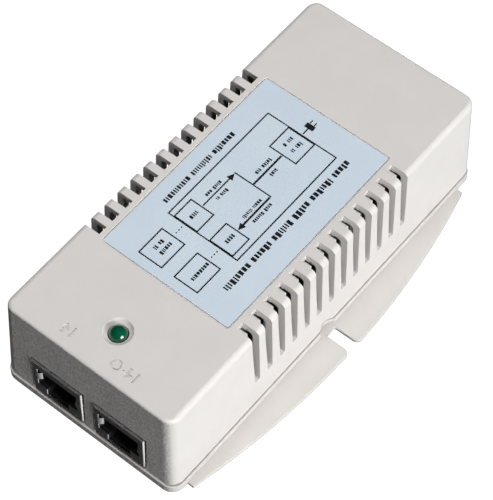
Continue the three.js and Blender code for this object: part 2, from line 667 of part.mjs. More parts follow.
// Common-mode choke: a ferrite ring standing on edge with a winding round each half.
function addChoke(x, y) {
  const ring = { outer: 8.2, inner: 4.4, width: 6.0 };
  const z = DECK + ring.outer + 1.4;
  const tube = (outer, inner, width) => {
    const profile = [[inner, -width / 2], [outer, -width / 2], [outer, width / 2], [inner, width / 2],
      [inner, -width / 2]].map(([u, v]) => new THREE.Vector2(u, v));
    const solid = toSolid(new THREE.LatheGeometry(profile, 36));
    return solid.translate([x, y, z]);
  };
  addPiece('choke_core', tube(ring.outer, ring.inner, ring.width), FERRITE);
  const wire = cut(tube(ring.outer + 1.3, ring.inner - 1.3, ring.width + 2.6),
    tube(ring.outer + GAP, ring.inner - GAP, ring.width + 2 * GAP));
  for (const [name, side] of [['line', -1], ['neutral', 1]]) {
    const edges = [side * 1.8, side * 20].sort((a, b) => a - b);
    const sector = box([x + edges[0], y - 10, z - 20], [x + edges[1], y + 10, z + 20]);
    addPiece(`choke_winding_${name}`, wire.intersect(sector), COPPER);
  }
}

// Finned heat sink standing along one side, with a power device screwed flat against it.
function addCooledDevice(role, x, y, length, facing) {
  const top = DECK + HEAT_SINK.height;
  const plate = standingBlock(x, y, HEAT_SINK.plate, length, HEAT_SINK.height);
  const finX = [x, x - facing * HEAT_SINK.finDepth].sort((a, b) => a - b);
  const halfFin = HEAT_SINK.finWidth / 2;
  const endFin = length / 2 - 2 * halfFin;
  const fins = [];
  for (let offset = -endFin; offset <= endFin; offset += HEAT_SINK.finPitch) {
    fins.push(box([finX[0], y + offset - halfFin, DECK + 3], [finX[1], y + offset + halfFin, top]));
  }
  addPiece(`heat_sink_${role}`, join(plate, ...fins), ALUMINIUM);

  const near = x + facing * (HEAT_SINK.plate / 2 + GAP);
  const half = DEVICE.width / 2;
  const slab = (depth, bottom, slabTop) => {
    const edges = [near, near + facing * depth].sort((a, b) => a - b);
    return box([edges[0], y - half, DECK + bottom], [edges[1], y + half, DECK + slabTop]);
  };
  const leadX = near + facing * DEVICE.mouldDepth / 2;
  const leads = [-1, 0, 1].map((place) => {
    const leadY = y + place * DEVICE.leadPitch;
    return box([leadX - DEVICE.leadHalfX, leadY - DEVICE.leadHalfY, DECK],
      [leadX + DEVICE.leadHalfX, leadY + DEVICE.leadHalfY, DECK + DEVICE.bottom + 1]);
  });
  const device = join(slab(DEVICE.mouldDepth, DEVICE.bottom, DEVICE.mouldTop),
    slab(DEVICE.tabDepth, DEVICE.mouldTop - 0.5, DEVICE.tabTop), ...leads);
  const hole = new THREE.CylinderGeometry(DEVICE.holeRadius, DEVICE.holeRadius, 8, 16);
  hole.rotateZ(Math.PI / 2);
  hole.translate(near, y, DECK + DEVICE.holeZ);
  addPiece(`power_device_${role}`, cut(device, toSolid(hole)), EPOXY);
}

// Chip package with a row of leads down each long side.
function makeChip(x, y, width, length, leads) {
  const body = box([x - width / 2, y - length / 2, DECK + 0.5], [x + width / 2, y + length / 2, DECK + 3.6]);
  const feet = [];
  for (let index = 0; index < leads; index += 1) {
    const at = y + (index - (leads - 1) / 2) * 2.54;
    feet.push(box([x - width / 2 - 0.8, at - 0.4, DECK], [x - width / 2 + 0.2, at + 0.4, DECK + 2]));
    feet.push(box([x + width / 2 - 0.2, at - 0.4, DECK], [x + width / 2 + 0.8, at + 0.4, DECK + 2]));
  }
  return join(body, ...feet);
}

function makeFuse(x, y) {
  const length = 20;
  const tube = new THREE.CylinderGeometry(2.3, 2.3, length, 20);
  const caps = [-1, 1].map((end) => {
    const cap = new THREE.CylinderGeometry(2.6, 2.6, 5, 20);
    cap.translate(0, end * (length / 2 - 2.5), 0);
    return toSolid(cap);
  });
  return join(toSolid(tube), ...caps).translate([x, y, DECK + 3.2]);
}

function makeDiscCapacitor(x, y) {
  const disc = new THREE.CylinderGeometry(4.2, 4.2, 3.2, 24);
  disc.translate(x, y, DECK + 6.5);
  return toSolid(disc);
}

function makeDrumInductor(x, y) {
  const profile = [[0, 0], [5, 0], [5, 1.4], [4.2, 1.8], [4.2, 9], [5, 9.4], [5, 10.8], [0, 10.8]]
    .map(([u, v]) => new THREE.Vector2(u, v));
  const geometry = new THREE.LatheGeometry(profile, 24);
  geometry.rotateX(Math.PI / 2);
  geometry.translate(x, y, DECK);
  return toSolid(geometry);
}

function addBoardParts() {
  addPiece('network_transformer', makeChip(-11, -36, 12, 15, 6), EPOXY);
  addPiece('output_capacitor_front', makeCapacitor(6, -33, 5, 20), SLEEVE);
  addPiece('output_capacitor_back', makeCapacitor(6, -21.5, 5, 20), SLEEVE);
  addPiece('output_inductor', makeDrumInductor(-15, -19), FERRITE);
  addPiece('feedback_optocoupler', makeChip(-18, -6, 6, 4.6, 2), EPOXY);
  addPiece('controller_chip', makeChip(-18, 5, 6, 9.6, 4), EPOXY);
  addPiece('safety_capacitor', makeDiscCapacitor(18.4, -6), CERAMIC);
  addPiece('bulk_capacitor', makeCapacitor(0, 19, 9, 25), SLEEVE);
  addPiece('bridge_rectifier', standingBlock(-15, 21, 4.5, 18, 15), EPOXY);
  addPiece('filter_capacitor', standingBlock(-8.4, 35.5, 18, 7, 14), BOX_CAP);
  addPiece('mains_fuse', makeFuse(-20.6, 38), GLASS);
  addTransformer(0, -2);
  addChoke(11, 33.4);
  addCooledDevice('secondary', 18.6, -27, 20, -1);
  addCooledDevice('primary', 18.6, 15, 20, -1);
}

// ---------------------------------------------------------------- assembly

addPiece('lower_shell', makeLowerShell(), PLASTIC);
addPiece('circuit_board', makeBoard(), LAMINATE);
addBoardParts();
for (const [port, x] of Object.entries(JACK.centres)) {
  addJack(port, x);
}
addInlet();
addLamp();
addPiece('upper_shell', makeUpperShell(), PLASTIC);
addPiece('label', makeLabel(), PAPER);
addCaseScrews();

export default assembly;
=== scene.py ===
"""Looks of the power-over-Ethernet injector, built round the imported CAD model.

Lengths are written in millimetres and turned into metres by MM. +Y runs from the network jacks
to the mains inlet, +Z is up, and the origin is the middle of the base.
"""
import math
import random

import bmesh
import bpy
from mathutils import Matrix, Vector


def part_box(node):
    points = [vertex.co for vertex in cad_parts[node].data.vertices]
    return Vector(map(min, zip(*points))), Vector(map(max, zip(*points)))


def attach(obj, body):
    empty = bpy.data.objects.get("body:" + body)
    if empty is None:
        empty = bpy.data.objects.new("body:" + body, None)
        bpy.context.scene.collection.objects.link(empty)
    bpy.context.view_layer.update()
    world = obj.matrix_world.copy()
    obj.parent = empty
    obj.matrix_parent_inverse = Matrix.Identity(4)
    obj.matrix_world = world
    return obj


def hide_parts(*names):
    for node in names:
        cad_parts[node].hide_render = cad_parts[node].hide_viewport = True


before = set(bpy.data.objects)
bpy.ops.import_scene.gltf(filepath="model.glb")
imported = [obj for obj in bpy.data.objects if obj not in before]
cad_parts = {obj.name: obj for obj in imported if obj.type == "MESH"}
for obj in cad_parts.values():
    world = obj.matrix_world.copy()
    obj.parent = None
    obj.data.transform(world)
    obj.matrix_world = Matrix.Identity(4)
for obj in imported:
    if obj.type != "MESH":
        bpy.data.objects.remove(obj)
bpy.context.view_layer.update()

MM = 0.001
BODY = "case"

# ------------------------------------------------------------------ sizes taken from the frame


def size_of(node):
    """Lowest and highest corner of a CAD node, in millimetres."""
    low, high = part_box(node)
    return low / MM, high / MM


UPPER_LOW, UPPER_HIGH = size_of("upper_shell")
LABEL_LOW, LABEL_HIGH = size_of("label")
LAMP_LOW, LAMP_HIGH = size_of("lamp_lens")
INLET_LOW, INLET_HIGH = size_of("inlet_body")

LABEL_HALF_X = (LABEL_HIGH.x - LABEL_LOW.x) / 2
LABEL_HALF_Y = (LABEL_HIGH.y - LABEL_LOW.y) / 2
LABEL_MIDDLE_Y = (LABEL_HIGH.y + LABEL_LOW.y) / 2
LAMP_CENTRE = ((LAMP_LOW.x + LAMP_HIGH.x) / 2, (LAMP_LOW.y + LAMP_HIGH.y) / 2)
INLET_MIDDLE_Z = (INLET_LOW.z + INLET_HIGH.z) / 2
INLET_HALF_X = 13.7                           # half sizes of the housing, without the flange
INLET_HALF_Z = 9.9

FLARE = 1.1                                   # lean of each wall from roof to base
ROOF_Z = UPPER_HIGH.z
SEAM_Z = UPPER_LOW.z                          # bottom edge of the upper shell


def lean_at(z):
    """How far a wall has leaned out at a height, against its place at the roof."""
    return FLARE * (ROOF_Z - z) / ROOF_Z


HALF_WIDTH = UPPER_HIGH.x - lean_at(SEAM_Z)   # outer half sizes at the roof
HALF_LENGTH = UPPER_HIGH.y - lean_at(SEAM_Z)
WALL = 1.8
CORNER = 3.2
ROOF_EDGE = 1.5                               # round edge of the roof along the sides
ROOF_END_EDGE = 0.8                           # and along the ends
BREAK = 0.2                                   # width of a broken edge in moulded plastic
GAP = 0.3                                     # room round a piece in an opening
LABEL_MARGIN = 0.35                           # and round the label in its pocket

SCREW_X = 22.0                                # places of the case screws
SCREW_Y = 53.4
SCREW_SHANK = 1.7                             # radius of the hole for a screw

EAR_Y = -1.2                                  # middle of the ears
EAR_HALF_LENGTH = 55.3
EAR_REACH = size_of("lower_shell")[1].x       # X of the outer edge at its middle
EAR_TIP = 29.4                                # and at its two ends
EAR_THICKNESS = 1.3
SLOT_WIDTH = 3.4
SLOT_END = 28.5                               # X of the closed end of a slot
TAB_CORNER = 1.7                              # round corner at the mouth of a slot

VENTS = 13
VENT_PITCH = 4.88
VENT_WIDTH = 2.65
VENT_INNER = 21.3                             # X of the inner end of a slot on the roof
VENT_BOTTOM = 12.8
VENT_BREAK = 0.12                             # broken edge at its inner end
VENT_FOOT = 0.45                              # drop of the sloping bottom of a slot
VENT_ROUND = 1.5                              # round shoulder of a slot on the roof
VENT_WALL_ROUND = 0.35                        # and on the wall
VENT_SHOULDER = 1.2                           # width of the shoulder
VENT_SLANT_RUN = 0.85                         # how far a slot narrows down the wall
VENT_SLANT = 20                               # height over which it slants, for each millimetre

MARK_Y = -55.5
MARK_X = {"in": -10.4, "out": 8.8}
MARK_DEPTH = 0.4


# ------------------------------------------------------------------ mesh tools


def make_object(name, points, faces):
    """A closed mesh from points in millimetres."""
    mesh = bpy.data.meshes.new(name)
    mesh.from_pydata([Vector(point) * MM for point in points], [], faces)
    shape = bmesh.new()
    shape.from_mesh(mesh)
    bmesh.ops.remove_doubles(shape, verts=shape.verts, dist=1e-7)
    bmesh.ops.recalc_face_normals(shape, faces=shape.faces)
    shape.to_mesh(mesh)
    shape.free()
    made = bpy.data.objects.new(name, mesh)
    bpy.context.scene.collection.objects.link(made)
    return made


def loft(name, rings):
    """Skin over rings that have the same number of points, closed by a face at each end."""
    count = len(rings[0])
    points = [point for ring in rings for point in ring]
    faces = [list(range(count))[::-1], list(range(len(points) - count, len(points)))]
    for level in range(len(rings) - 1):
        for index in range(count):
            after = (index + 1) % count
            low, high = level * count, (level + 1) * count
            faces.append([low + index, low + after, high + after, high + index])
    return make_object(name, points, faces)


def turn_ring(name, profile, centre, steps=48):
    """A body turned about an upright axis, from a profile of (radius, Z) points.

    The profile starts and ends on the axis, or is a closed line away from it.
    """
    rings = []
    for step in range(steps):
        angle = math.tau * step / steps
        rings.append([(centre[0] + r * math.cos(angle), centre[1] + r * math.sin(angle), z)
                      for r, z in profile])
    count = len(profile)
    points = [point for ring in rings for point in ring]
    faces = []
    for step in range(steps):
        here, there = step * count, (step + 1) % steps * count
        for index in range(count - 1):
            faces.append([here + index, there + index, there + index + 1, here + index + 1])
    return make_object(name, points, faces)


def arc(x, y, radius, start, end, steps):
    """Points along an arc, with its angles in degrees."""
    angles = [math.radians(start + (end - start) * step / steps) for step in range(steps + 1)]
    return [(x + radius * math.cos(angle), y + radius * math.sin(angle)) for angle in angles]


def rounded(half_x, half_y, radius, steps=12):
    """Outline of a rectangle with round corners."""
    x, y = half_x - radius, half_y - radius
    return (arc(x, -y, radius, -90, 0, steps) + arc(x, y, radius, 0, 90, steps)
            + arc(-x, y, radius, 90, 180, steps) + arc(-x, -y, radius, 180, 270, steps))


def raise_outline(name, outline, low, high):
    """An outline in X and Y, raised from one height to another."""
    return loft(name, [[(x, y, z) for x, y in outline] for z in (low, high)])


def block(name, low, high):
    outline = [(low[0], low[1]), (high[0], low[1]), (high[0], high[1]), (low[0], high[1])]
    return raise_outline(name, outline, low[2], high[2])


def bar(name, x, y, radius, low, high, steps=32):
    return turn_ring(name, [(0, low), (radius, low), (radius, high), (0, high)], (x, y), steps)


def along_x(name, outline, low, high):
    """An outline in Y and Z, drawn out along X."""
    return loft(name, [[(x, y, z) for y, z in outline] for x in (low, high)])


def combine(piece, others, operation="DIFFERENCE"):
    """Cuts the other pieces from a piece, or joins them to it, and removes them."""
    for other in others:
        step = piece.modifiers.new("combine", "BOOLEAN")
        step.operation = operation
        step.object = other
        step.solver = "MANIFOLD"
        seen = piece.evaluated_get(bpy.context.evaluated_depsgraph_get())
        result = bpy.data.meshes.new_from_object(seen)
        piece.modifiers.clear()
        spent = piece.data
        piece.data = result
        bpy.data.meshes.remove(spent)
        bpy.data.objects.remove(other, do_unlink=True)
    return piece


def break_edges(piece, width, segments=2, least_angle=30, chosen=None):
    """Rounds the edges of a simple mesh that turn by more than an angle."""
    shape = bmesh.new()
    shape.from_mesh(piece.data)
    limit = math.radians(least_angle)
    edges = [edge for edge in shape.edges if edge.is_manifold and edge.calc_face_angle() > limit]
    if chosen:
        edges = [edge for edge in edges if chosen(edge)]
    bmesh.ops.bevel(shape, geom=edges, offset=width * MM, segments=segments, profile=0.5,
                    affect="EDGES", clamp_overlap=True)
    shape.to_mesh(piece.data)
    shape.free()
    return piece


def smooth(piece, sharp_angle=50):
    """Even shading on flat faces with soft turns at broken edges."""
    piece.data.shade_smooth()
    piece.data.set_sharp_from_angle(angle=math.radians(sharp_angle))
    normals = piece.modifiers.new("normals", "WEIGHTED_NORMAL")
    normals.keep_sharp = True
    return piece


def join_meshes(name, pieces):
    """One object from several that do not touch."""
    shape = bmesh.new()
    for piece in pieces:
        shape.from_mesh(piece.data)
        bpy.data.objects.remove(piece, do_unlink=True)
    mesh = bpy.data.meshes.new(name)
    shape.to_mesh(mesh)
    shape.free()
    made = bpy.data.objects.new(name, mesh)
    bpy.context.scene.collection.objects.link(made)
    return made


def finish_piece(piece, material, slot, body=BODY, stands_for=(), sharp_angle=50):
    """Gives a piece its shading, material and body. The slot is not used."""
    smooth(piece, sharp_angle)
    piece.data.materials.clear()
    piece.data.materials.append(material)
    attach(piece, body)
    if stands_for:
        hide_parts(*stands_for)
    return piece


# ------------------------------------------------------------------ materials


class Finish:
    """A procedural material: a Principled shader with noise in colour, roughness and relief."""

    def __init__(self, name, color, roughness, metallic=0.0):
        self.material = bpy.data.materials.new(name)
        self.material.use_nodes = True
        self.nodes = self.material.node_tree.nodes
        self.links = self.material.node_tree.links
        self.shader = self.nodes["Principled BSDF"]
        self.color = color
        self.shader.inputs["Base Color"].default_value = (*color, 1)
        self.shader.inputs["Roughness"].default_value = roughness
        self.shader.inputs["Metallic"].default_value = metallic
        self.roughness = roughness
        self.place = self.nodes.new("ShaderNodeTexCoord").outputs["Object"]

    def set(self, **values):
        """Sets the shader's own sockets, with _ for a space in a name."""
        for name, value in values.items():
            self.shader.inputs[name.replace("_", " ")].default_value = value
        return self

    def noise(self, size, detail=2.0, stretch=(1, 1, 1), roughness=0.5):
        """Noise whose features are about size millimetres across."""
        mapping = self.nodes.new("ShaderNodeMapping")
        mapping.inputs["Scale"].default_value = stretch
        self.links.new(self.place, mapping.inputs["Vector"])
        texture = self.nodes.new("ShaderNodeTexNoise")
        texture.inputs["Scale"].default_value = 1 / (size * MM)
        texture.inputs["Detail"].default_value = detail
        texture.inputs["Roughness"].default_value = roughness
        self.links.new(mapping.outputs["Vector"], texture.inputs["Vector"])
        return texture.outputs["Fac"]

    def span(self, value, low, high, from_low=0.3, from_high=0.7):
        """Stretches a noise value to a range."""
        node = self.nodes.new("ShaderNodeMapRange")
        node.inputs["From Min"].default_value = from_low
        node.inputs["From Max"].default_value = from_high
        node.inputs["To Min"].default_value = low
        node.inputs["To Max"].default_value = high
        self.links.new(value, node.inputs["Value"])
        return node.outputs["Result"]

    def math(self, operation, *values):
        """Result of a maths node on one or more node outputs."""
        node = self.nodes.new("ShaderNodeMath")
        node.operation = operation
        for value, socket in zip(values, node.inputs):
            self.links.new(value, socket)
        return node.outputs["Value"]

    def tint(self, size, other, amount=1.0, where=None, **options):
        """Drifts the colour towards another one in patches, all over or in one place."""
        mix = self.nodes.new("ShaderNodeMix")
        mix.data_type = "RGBA"
        share = self.span(self.noise(size, **options), 0, amount)
        if where:
            share = self.math("MULTIPLY", share, where)
        self.links.new(share, mix.inputs["Factor"])
        if self.shader.inputs["Base Color"].is_linked:
            source = self.shader.inputs["Base Color"].links[0].from_socket
            self.links.new(source, mix.inputs["A"])
        else:
            mix.inputs["A"].default_value = (*self.color, 1)
        mix.inputs["B"].default_value = (*other, 1)
        self.links.new(mix.outputs["Result"], self.shader.inputs["Base Color"])
        return self

    def dull(self, size, spread, **options):
        """Varies the roughness in patches."""
        low, high = self.roughness - spread, self.roughness + spread
        self.links.new(self.span(self.noise(size, **options), low, high),
                       self.shader.inputs["Roughness"])
        return self

    def paint_shade_in_hollows(self, least=0.3):
        """Painted shade: dims the colour of places shut in on nearly all sides, down to the least
        share of the colour.
        """
        hidden = self.nodes.new("ShaderNodeAmbientOcclusion")
        hidden.samples = 8
        hidden.inputs["Distance"].default_value = 40 * MM
        mix = self.nodes.new("ShaderNodeMix")
        mix.data_type = "RGBA"
        self.links.new(self.span(hidden.outputs["AO"], least, 1, 0.05, 0.18), mix.inputs["Factor"])
        mix.inputs["A"].default_value = (0, 0, 0, 1)
        self.links.new(self.shader.inputs["Base Color"].links[0].from_socket, mix.inputs["B"])
        self.links.new(mix.outputs["Result"], self.shader.inputs["Base Color"])
        return self

    def end_walls(self):
        """Mask that is one on the outer walls across Y, and nothing elsewhere."""
        shares = []
        for socket, start, end in (("Normal", 0.7, 0.98),
                                   ("Object", (HALF_LENGTH - 1) * MM, (HALF_LENGTH - 0.5) * MM)):
            axes = self.nodes.new("ShaderNodeSeparateXYZ")
            self.links.new(self.place.node.outputs[socket], axes.inputs["Vector"])
            size = self.math("ABSOLUTE", axes.outputs["Y"])
            shares.append(self.span(size, 0, 1, start, end))
        return self.math("MULTIPLY", *shares)

    def relief(self, size, depth, where=None, **options):
        """Fine surface relief, depth in millimetres. Later calls lie on top of earlier ones."""
        bump = self.nodes.new("ShaderNodeBump")
        bump.inputs["Strength"].default_value = 1
        if where:
            self.links.new(where, bump.inputs["Strength"])
        bump.inputs["Distance"].default_value = depth * MM
        self.links.new(self.noise(size, **options), bump.inputs["Height"])
        if self.shader.inputs["Normal"].is_linked:
            self.links.new(self.shader.inputs["Normal"].links[0].from_socket, bump.inputs["Normal"])
        self.links.new(bump.outputs["Normal"], self.shader.inputs["Normal"])
        return self


def moulded(name, color, roughness=0.5, grain=0.25, depth=0.012):
    """Injection-moulded plastic with a fine spark-eroded grain."""
    shade = tuple(channel * 0.93 for channel in color)
    return (Finish(name, color, roughness)
            .tint(9, shade, 0.6).tint(0.35, shade, 0.35)
            .dull(4, 0.05).relief(grain, depth).set(IOR=1.5))


def case_plastic(name, color):
    """Moulded plastic that is smooth on its sides, and pitted on its end walls, where dark patches
    are painted shade in the pits. Its hollows are darkened nearly to black with painted shade.
    """
    pit_shade = tuple(channel * 0.52 for channel in color)
    finish = moulded(name, color, 0.46, 0.5, 0.03)
    # Dark patches on the end walls: painted shade in the pits of the grain.
    finish.tint(0.5, pit_shade, 1, finish.end_walls(), detail=1.0)
    finish.relief(0.9, 0.3, finish.end_walls(), detail=3.0, roughness=0.7)
    return finish.paint_shade_in_hollows(0.04).material


def metal(name, color, roughness, grain=0.3, stretch=(1, 1, 1), depth=0.004):
    """Plated or bare metal with faint rolling marks, and painted shade in its hollows."""
    shade = tuple(channel * 0.8 for channel in color)
    return (Finish(name, color, roughness, 1.0)
            .tint(4, shade, 0.6, stretch=stretch)
            .dull(3, 0.06, stretch=stretch).relief(grain, depth, stretch=stretch)
            .paint_shade_in_hollows().material)


# All materials below but the label's, the lamp's and the fuse's have painted shade in their
# hollows.
CASE_PLASTIC = case_plastic("case_plastic", (0.73, 0.705, 0.68))
BASE_PLASTIC = case_plastic("base_plastic", (0.66, 0.636, 0.612))
BLACK_PLASTIC = (moulded("connector_plastic", (0.018, 0.018, 0.02), 0.42)
                 .paint_shade_in_hollows().material)
SHIELD_METAL = metal("shield_tinplate", (0.82, 0.81, 0.78), 0.26, 2.5, (1, 0.2, 1), 0.002)
GILT = metal("gilt", (0.86, 0.62, 0.24), 0.22, stretch=(1, 0.2, 1))
PIN_METAL = metal("pin_plating", (0.72, 0.7, 0.65), 0.25, stretch=(1, 0.2, 1))
WIRE_METAL = metal("tinned_wire", (0.66, 0.66, 0.64), 0.28)
SCREW_METAL = metal("screw_zinc", (0.6, 0.61, 0.63), 0.3)
SINK_METAL = metal("heat_sink", (0.6, 0.61, 0.63), 0.4, stretch=(1, 1, 0.1))
LAMINATE = (Finish("board_laminate", (0.03, 0.14, 0.06), 0.4)
            .tint(3, (0.05, 0.22, 0.09)).tint(0.6, (0.02, 0.1, 0.05)).dull(2, 0.1)
            .relief(0.6, 0.02).paint_shade_in_hollows().material)
FERRITE = (Finish("ferrite", (0.05, 0.05, 0.055), 0.7)
           .tint(0.5, (0.09, 0.085, 0.08)).dull(0.5, 0.1).relief(0.3, 0.03)
           .paint_shade_in_hollows().material)
TAPE = (Finish("winding_tape", (0.72, 0.5, 0.06), 0.3)
        .tint(2, (0.6, 0.38, 0.04)).dull(1, 0.08).relief(1.5, 0.05, stretch=(0.2, 0.2, 4))
        .paint_shade_in_hollows().material)
# The wire's colour is darker than bare enamelled copper: painted shade for the dark inside of the
# case.
ENAMEL = (Finish("enamelled_wire", (0.26, 0.085, 0.035), 0.32, 0.6)
          .tint(1, (0.18, 0.055, 0.025)).dull(1, 0.08).relief(0.8, 0.25, stretch=(0.3, 4, 0.3))
          .paint_shade_in_hollows().material)
SLEEVE = (Finish("capacitor_sleeve", (0.02, 0.028, 0.05), 0.3)
          .tint(4, (0.03, 0.045, 0.08)).dull(2, 0.08).relief(1.2, 0.02).paint_shade_in_hollows().material)
EPOXY = (Finish("device_epoxy", (0.022, 0.022, 0.023), 0.45)
         .tint(0.4, (0.04, 0.04, 0.042)).dull(0.8, 0.1).relief(0.15, 0.01).paint_shade_in_hollows().material)
BOX_PLASTIC = (moulded("filter_capacitor_case", (0.72, 0.5, 0.03), 0.35)
               .paint_shade_in_hollows().material)
# The disc's blue is darker than its own: painted shade for the dark inside of the case.
CERAMIC = (Finish("disc_lacquer", (0.02, 0.07, 0.19), 0.35)
           .tint(1, (0.015, 0.05, 0.15)).dull(1, 0.08).relief(1.5, 0.08).paint_shade_in_hollows().material)
FUSE_GLASS = (Finish("fuse_tube", (0.8, 0.83, 0.83), 0.12)
              .tint(3, (0.6, 0.63, 0.62)).dull(2, 0.04).relief(3, 0.01)
              .set(Coat_Weight=0.6, Coat_Roughness=0.05).material)
LABEL_FILM = (Finish("label_film", (0.62, 0.72, 0.81), 0.36)
              .tint(16, (0.67, 0.76, 0.83)).tint(0.3, (0.58, 0.68, 0.78), 0.5)
              .dull(3, 0.05).relief(0.5, 0.006).relief(6, 0.02).material)
LABEL_INK = (Finish("label_ink", (0.006, 0.006, 0.008), 0.5)
             .tint(0.4, (0.02, 0.022, 0.026)).dull(1, 0.08).relief(0.3, 0.004).material)
LAMP_EPOXY = (Finish("lamp_epoxy", (0.0, 0.06, 0.025), 0.1)
              .tint(1.6, (0.0, 0.09, 0.04)).dull(1.5, 0.03).relief(2.5, 0.015)
              .set(Coat_Weight=1.0, Coat_Roughness=0.03, IOR=1.54).material)


# ------------------------------------------------------------------ camera, light and floor


def place_camera():
    """Long lens from the front right and above, with a slight roll."""
    azimuth, elevation, roll = map(math.radians, (37.90, 57.40, 1.20))
    distance = 551.95
    back = Vector((math.sin(azimuth) * math.cos(elevation),
                   -math.cos(azimuth) * math.cos(elevation), math.sin(elevation)))
    level = Vector((math.cos(azimuth), math.sin(azimuth), 0))
    up = back.cross(level)
    right = math.cos(roll) * level + math.sin(roll) * up
    top = math.cos(roll) * up - math.sin(roll) * level
    target = Vector((0, 0, 15.43)) + 0.03 * right - 3.23 * top
    data = bpy.data.cameras.new("camera")
    data.sensor_width = 36
    data.lens = 158.4
    data.clip_start = 0.01
    camera = bpy.data.objects.new("camera", data)
    bpy.context.scene.collection.objects.link(camera)
    turn = Matrix((right, top, back)).transposed().to_4x4()
    camera.matrix_world = Matrix.Translation((target + distance * back) * MM) @ turn
    bpy.context.scene.camera = camera


def place_light(name, azimuth, elevation, size, power, glossy=False):
    """A square soft light that faces the object. Azimuth 90 is over +X, and 0 over -Y.

    Only a glossy light shows in reflections.
    """
    distance = 1.2
    a, e = math.radians(azimuth), math.radians(elevation)
    away = Vector((math.sin(a) * math.cos(e), -math.cos(a) * math.cos(e), math.sin(e)))
    data = bpy.data.lights.new(name, "AREA")
    data.size = size
    data.energy = power
    light = bpy.data.objects.new(name, data)
    bpy.context.scene.collection.objects.link(light)
    light.matrix_world = (Matrix.Translation(away * distance)
                          @ away.to_track_quat("Z", "Y").to_matrix().to_4x4())
    light.visible_glossy = glossy


def build_world():
    """Dim even light all round, with a brighter patch low on the right, like a lit table there."""
    dim, bright = 0.03, 1.7
    world = bpy.data.worlds.new("studio")
    world.use_nodes = True
    nodes, links = world.node_tree.nodes, world.node_tree.links
    axes = nodes.new("ShaderNodeSeparateXYZ")
    links.new(nodes.new("ShaderNodeTexCoord").outputs["Generated"], axes.inputs["Vector"])
    patch = nodes.new("ShaderNodeMath")
    patch.operation = "MULTIPLY"
    for factor, (axis, start, end) in zip(patch.inputs, (("X", 0.2, 0.5), ("Z", -0.3, -0.7))):
        ramp = nodes.new("ShaderNodeMapRange")
        ramp.inputs["From Min"].default_value = start
        ramp.inputs["From Max"].default_value = end
        links.new(axes.outputs[axis], ramp.inputs["Value"])
        links.new(ramp.outputs["Result"], factor)
    level = nodes.new("ShaderNodeMapRange")
    level.inputs["To Min"].default_value = dim
    level.inputs["To Max"].default_value = bright
    links.new(patch.outputs["Value"], level.inputs["Value"])
    background = nodes["Background"]
    background.inputs["Color"].default_value = (0.95, 0.97, 1, 1)
    links.new(level.outputs["Result"], background.inputs["Strength"])
    bpy.context.scene.world = world


def build_studio():
    bpy.context.scene.view_settings.view_transform = "Standard"
    build_world()
    place_light("key", 80.5, 16, 0.6, 15.3, glossy=True)
    place_light("top", 0, 86, 0.4, 8.9)
    place_light("fill", -15, 5, 0.6, 0.5)
    place_light("left", -120, 6, 0.6, 3)

    reach, corner = 4000, 200
    floor = loft("floor", [[(x, y, z) for x, y in rounded(reach, reach, corner)]
                           for z in (-6.0, -0.02)])
    paint = Finish("floor_paint", (0.35, 0.35, 0.35), 0.8).tint(60, (0.33, 0.33, 0.33))
    paint.set(Emission_Color=(1, 1, 1, 1), Emission_Strength=0.9)
    floor.data.materials.append(paint.material)
    floor.visible_diffuse = False
    floor.visible_glossy = False


# ------------------------------------------------------------------ case


def case_ring(z, inset, end_inset=None, steps=14):
    """Outline of the case at a height, drawn in from the outer skin."""
    lean = lean_at(z)
    radius = max(CORNER - inset, 0.6)
    end_inset = inset if end_inset is None else end_inset
    ring = rounded(HALF_WIDTH - inset, HALF_LENGTH - end_inset, radius, steps)
    return [(x + math.copysign(lean, x), y + math.copysign(lean, y), z) for x, y in ring]


def case_skin():
    """Solid block of the upper shell's outside, with broken bottom and round roof edges."""
    rings = [case_ring(SEAM_Z, 0.12, 0.55), case_ring(SEAM_Z + 0.3, 0.06, 0.5),
             case_ring(SEAM_Z + 0.6, 0)]
    rings.append(case_ring(VENT_BOTTOM, 0))
    for step in range(13):
        angle = math.radians(90 * step / 12)
        drop = ROOF_EDGE * (1 - math.sin(angle))
        rise = max(0, 1 - drop / ROOF_END_EDGE)
        end_inset = ROOF_END_EDGE * (1 - math.sqrt(1 - rise ** 2))
        rings.append(case_ring(ROOF_Z - drop, ROOF_EDGE * (1 - math.cos(angle)), end_inset))
    return loft("upper_shell_skin", rings)


def vent_section(roof_depth, wall_depth, bottom):
    """Outline in X and Z of a side vent at given depths under the roof and the wall."""
    deep_x, deep_z = max(wall_depth, ROOF_EDGE), max(roof_depth, ROOF_EDGE)
    radius_x, radius_z = max(ROOF_EDGE - wall_depth, 0.02), max(ROOF_EDGE - roof_depth, 0.02)
    turn = [(HALF_WIDTH - deep_x + radius_x * u, ROOF_Z - deep_z + radius_z * v)
            for u, v in arc(0, 0, 1, 90, 0, 8)]
    skin = HALF_WIDTH + lean_at(bottom)
    far = HALF_WIDTH + 4
    foot = bottom - VENT_FOOT
    return ([(VENT_INNER, ROOF_Z - roof_depth)] + turn
            + [(skin - wall_depth, bottom), (skin + 0.02, foot), (far, foot), (far, ROOF_Z + 2),
               (VENT_INNER - VENT_BREAK, ROOF_Z + 2), (VENT_INNER - VENT_BREAK, ROOF_Z + 0.02)])


def round_depth(run, radius, through):
    """Depth of a round shoulder at a distance from its edge, or through when past the round."""
    return radius - math.sqrt(radius ** 2 - run ** 2) if run < radius - 0.01 else through


